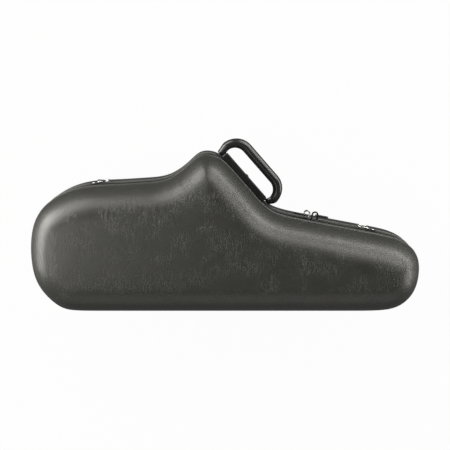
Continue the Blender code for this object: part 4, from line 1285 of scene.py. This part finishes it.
# %% Strap rings, plates and rivets
RING_WIRE = 0.0013
RING_HALF = 0.0110
RING_REACH = 0.0195
RING_CORNER = 0.0022
PLATE_LENGTH = 0.015
PLATE_TO_CURL = 0.0015
PLATE_HALF_WIDTH = 0.005
PLATE_HALF_THICK = 0.0006
PLATE_MIDDLE = 0.0005
CURL_RADIUS = 0.0022
RIVET_BACK = 0.0090
RIVET_PROFILE = ((0.0, 0.0013), (0.0011, 0.00122), (0.0021, 0.0009), (0.0028, 0.0004),
                 (0.0030, 0.0), (0.0014, 0.0), (0.0014, -0.0015), (0.0, -0.0015))


def ring_path(side):
    """A D with rounded corners: the straight side on the hinge line, the bow towards side."""
    straight = RING_HALF - RING_CORNER
    flat = [(0, v) for v in np.linspace(-straight, straight, 7)]
    flat += arc_points((RING_CORNER, straight), RING_CORNER, 180, 90, 6)[1:]
    flat += arc_points((RING_REACH - RING_HALF, 0), RING_HALF, 90, -90, 25)
    flat += arc_points((RING_CORNER, -straight), RING_CORNER, -90, -180, 6)[:-1]
    return [(side * u, 0, v) for u, v in flat]


def strap_ring(side_name, side):
    """Place one ring; returns the seat on its hinge, from which its plate is placed too."""
    hinge_seat = hinge_seat_of(side_name + "_ring_swing")
    wire = sweep(ring_path(side), (0, 1, 0), round_section(14), RING_WIRE, RING_WIRE, True)
    place_piece("ring_" + side_name, wire, hinge_seat, chrome, side_name + "_ring", "chrome",
                "strap_ring_" + side_name)
    return hinge_seat


def ring_plate(side_name, side, hinge_seat):
    """The plate's line in the hinge's axes: flat on the band, then curled round the wire."""
    up = (hinge_seat.inverted() @ seat_frame(*hinge_seat.translation)).translation.y
    line = [(-side * u, up + PLATE_MIDDLE) for u in np.linspace(PLATE_LENGTH, PLATE_TO_CURL, 8)]
    line += [(side * u, v) for u, v in arc_points((0, 0), CURL_RADIUS, -80, 150, 17)]
    path = [(u, v, 0) for u, v in line]
    bm = sweep(path, (0, 0, 1), round_section(16, 0.35), PLATE_HALF_WIDTH, PLATE_HALF_THICK)
    place_piece("plate_" + side_name, bm, hinge_seat, chrome, "base", "chrome",
                "ring_plate_" + side_name)
    ring_rivet(side_name, side, hinge_seat, up + PLATE_MIDDLE + PLATE_HALF_THICK)


def ring_rivet(side_name, side, hinge_seat, top):
    """A dome with a short shank, spun about its own axis and set on the plate."""
    dome = bmesh.new()
    line = [dome.verts.new((radius, top + rise, 0)) for radius, rise in RIVET_PROFILE]
    for pair in zip(line, line[1:]):
        dome.edges.new(pair)
    bmesh.ops.spin(dome, geom=dome.verts[:] + dome.edges[:], axis=(0, 1, 0), cent=(0, 0, 0),
                   angle=2 * math.pi, steps=24, use_merge=True)
    bmesh.ops.remove_doubles(dome, verts=dome.verts, dist=WELD / 2)
    bmesh.ops.recalc_face_normals(dome, faces=dome.faces)
    bmesh.ops.translate(dome, vec=(-side * RIVET_BACK, 0, 0), verts=dome.verts)
    place_piece("rivet_" + side_name, dome, hinge_seat, chrome, "base", "chrome",
                "ring_rivet_" + side_name)


for side_name, side in (("left", 1), ("right", -1)):
    ring_plate(side_name, side, strap_ring(side_name, side))
    print("made the", side_name, "ring, plate and rivet")

# %% [markdown]
# The bar, its pins and screws, the backing plate and the zip stops are plain hard shapes that
# the solids already have, so they stay and only take a finish. The box's tab is cloth, so it is
# made anew with round edges and a weave.

# %% Finish the solids that stay
STAYING = {"handle_bar": bar_black, "handle_pin_upper": steel, "handle_pin_lower": steel,
           "handle_screw_1": steel, "handle_screw_2": steel, "handle_screw_3": steel,
           "handle_backing_plate": steel, "zip_stop_bell_end": chrome,
           "zip_stop_narrow_end": chrome}
for name, material in STAYING.items():
    for slot in nodes[name].material_slots:
        slot.material = material
print("solids that stay:", len(STAYING))


# %% Tab on the box's lid
def lid_tab():
    """A short loop of webbing, pulled to open the box."""
    seat = seat_of("accessory_lid_tab", middle("accessory_lid_tab").z)
    low, high = spans_in("accessory_lid_tab", seat)
    path = [(0, v, 0) for v in np.linspace(low[1], high[1], 12)]
    half_width = (high[0] - low[0]) / 2
    half_thick = (high[2] - low[2]) / 2
    bm = sweep(path, (1, 0, 0), round_section(16, 0.3), half_width, half_thick)
    piece = place_piece("lid_tab", bm, seat, webbing, "accessory_cover", "webbing",
                        "accessory_lid_tab")
    return piece


print("made", lid_tab().name)

# %% [markdown]
# Light is a plain studio: a pale floor, a dim even sky and large soft panels all round. Most
# of them stand low on the handle side and at the bell end, where their reflections make the
# satin highlights along the turned edges. The floor is white to the camera, and dimmer in
# reflections, so that the steep sides stay dark.

# %% Floor
FLOOR_HALF = 6.0
FLOOR_IN_GLOSS = 0.12
FLOOR_MATT = (0.5, 0.5, 0.5, 1)
GLOW_SHARE = 0.97


def floor():
    """A pale plane: mostly glow where it is seen, so that only a faint shadow falls on it."""
    bm = bmesh.new()
    bmesh.ops.create_grid(bm, x_segments=1, y_segments=1, size=FLOOR_HALF)
    piece = add_piece("floor", bm)
    material = bpy.data.materials.new("pale floor")
    material.use_nodes = True
    tree = material.node_tree
    tree.nodes.clear()
    out = tree.nodes.new("ShaderNodeOutputMaterial")
    ray = tree.nodes.new("ShaderNodeLightPath").outputs
    seen = maths(tree, "MAXIMUM", ray["Is Camera Ray"],
                 maths(tree, "MAXIMUM", ray["Is Glossy Ray"], ray["Is Transmission Ray"]))
    level = span(tree, ray["Is Glossy Ray"], 0.0, 1.0, 1.0, FLOOR_IN_GLOSS)
    matt = node(tree, "ShaderNodeBsdfDiffuse", {"Color": FLOOR_MATT})
    glow = node(tree, "ShaderNodeEmission", {"Color": (1, 1, 1, 1), "Strength": level})
    mix = node(tree, "ShaderNodeMixShader", {0: maths(tree, "MULTIPLY", seen, GLOW_SHARE),
                                             1: matt.outputs[0], 2: glow.outputs[0]})
    tree.links.new(mix.outputs[0], out.inputs["Surface"])
    piece.data.materials.append(material)
    return piece


print("floor, across:", round(floor().dimensions.x, 3))


# %% Sky and lamps
LAMP_COLOUR = (1.0, 0.985, 0.93)


def sky(strength, gloss, seen):
    """An even sky: its strength on matt surfaces, in reflections and to the camera."""
    world = bpy.data.worlds.new("studio")
    bpy.context.scene.world = world
    world.use_nodes = True
    tree = world.node_tree
    ray = tree.nodes.new("ShaderNodeLightPath").outputs
    background = tree.nodes["Background"]
    background.inputs["Color"].default_value = (1, 1, 1, 1)
    level = span(tree, ray["Is Glossy Ray"], 0.0, 1.0, strength, gloss)
    level = maths(tree, "MAXIMUM", level, maths(tree, "MULTIPLY", ray["Is Camera Ray"], seen))
    tree.links.new(level, background.inputs["Strength"])


def panel(name, place, size, power, aim=(0, 0, 0.1)):
    """A soft rectangular lamp that faces a point near the case."""
    lamp = bpy.data.lights.new(name, "AREA")
    lamp.shape = "RECTANGLE"
    lamp.size, lamp.size_y = size
    lamp.energy = power
    lamp.color = LAMP_COLOUR
    holder = bpy.data.objects.new(name, lamp)
    COLLECTION.objects.link(holder)
    holder.location = place
    direction = Vector(aim) - Vector(place)
    holder.rotation_euler = direction.to_track_quat("-Z", "Y").to_euler()


sky(strength=0.19, gloss=0.012, seen=1.0)
panel("bell side panel", (-1.45, 1.55, 0.80), (2.2, 1.4), 36)
panel("handle side panel", (1.6, 2.0, 0.45), (2.3, 0.6), 31)
panel("grip panel", (0.95, 1.15, 1.15), (1.4, 0.55), 9.5, (0.05, 0.09, 0.07))
panel("bell end panel", (-1.35, 0.2, 0.32), (1.4, 0.6), 18, (-0.2, 0, 0.1))
panel("bell ceiling panel", (-1.3, -0.35, 2.0), (1.0, 1.6), 13, (-0.2, 0, 0.1))
panel("narrow end panel", (1.3, 0.05, 0.30), (1.2, 0.5), 7.5, (0.2, 0, 0.1))
panel("hinge side panel", (0.0, -2.0, 1.0), (4.0, 1.6), 11)
panel("overhead panel", (0.9, -0.9, 2.4), (1.2, 0.8), 1)
bpy.context.scene.view_settings.view_transform = "Standard"
print("panels:", len(bpy.data.lights))
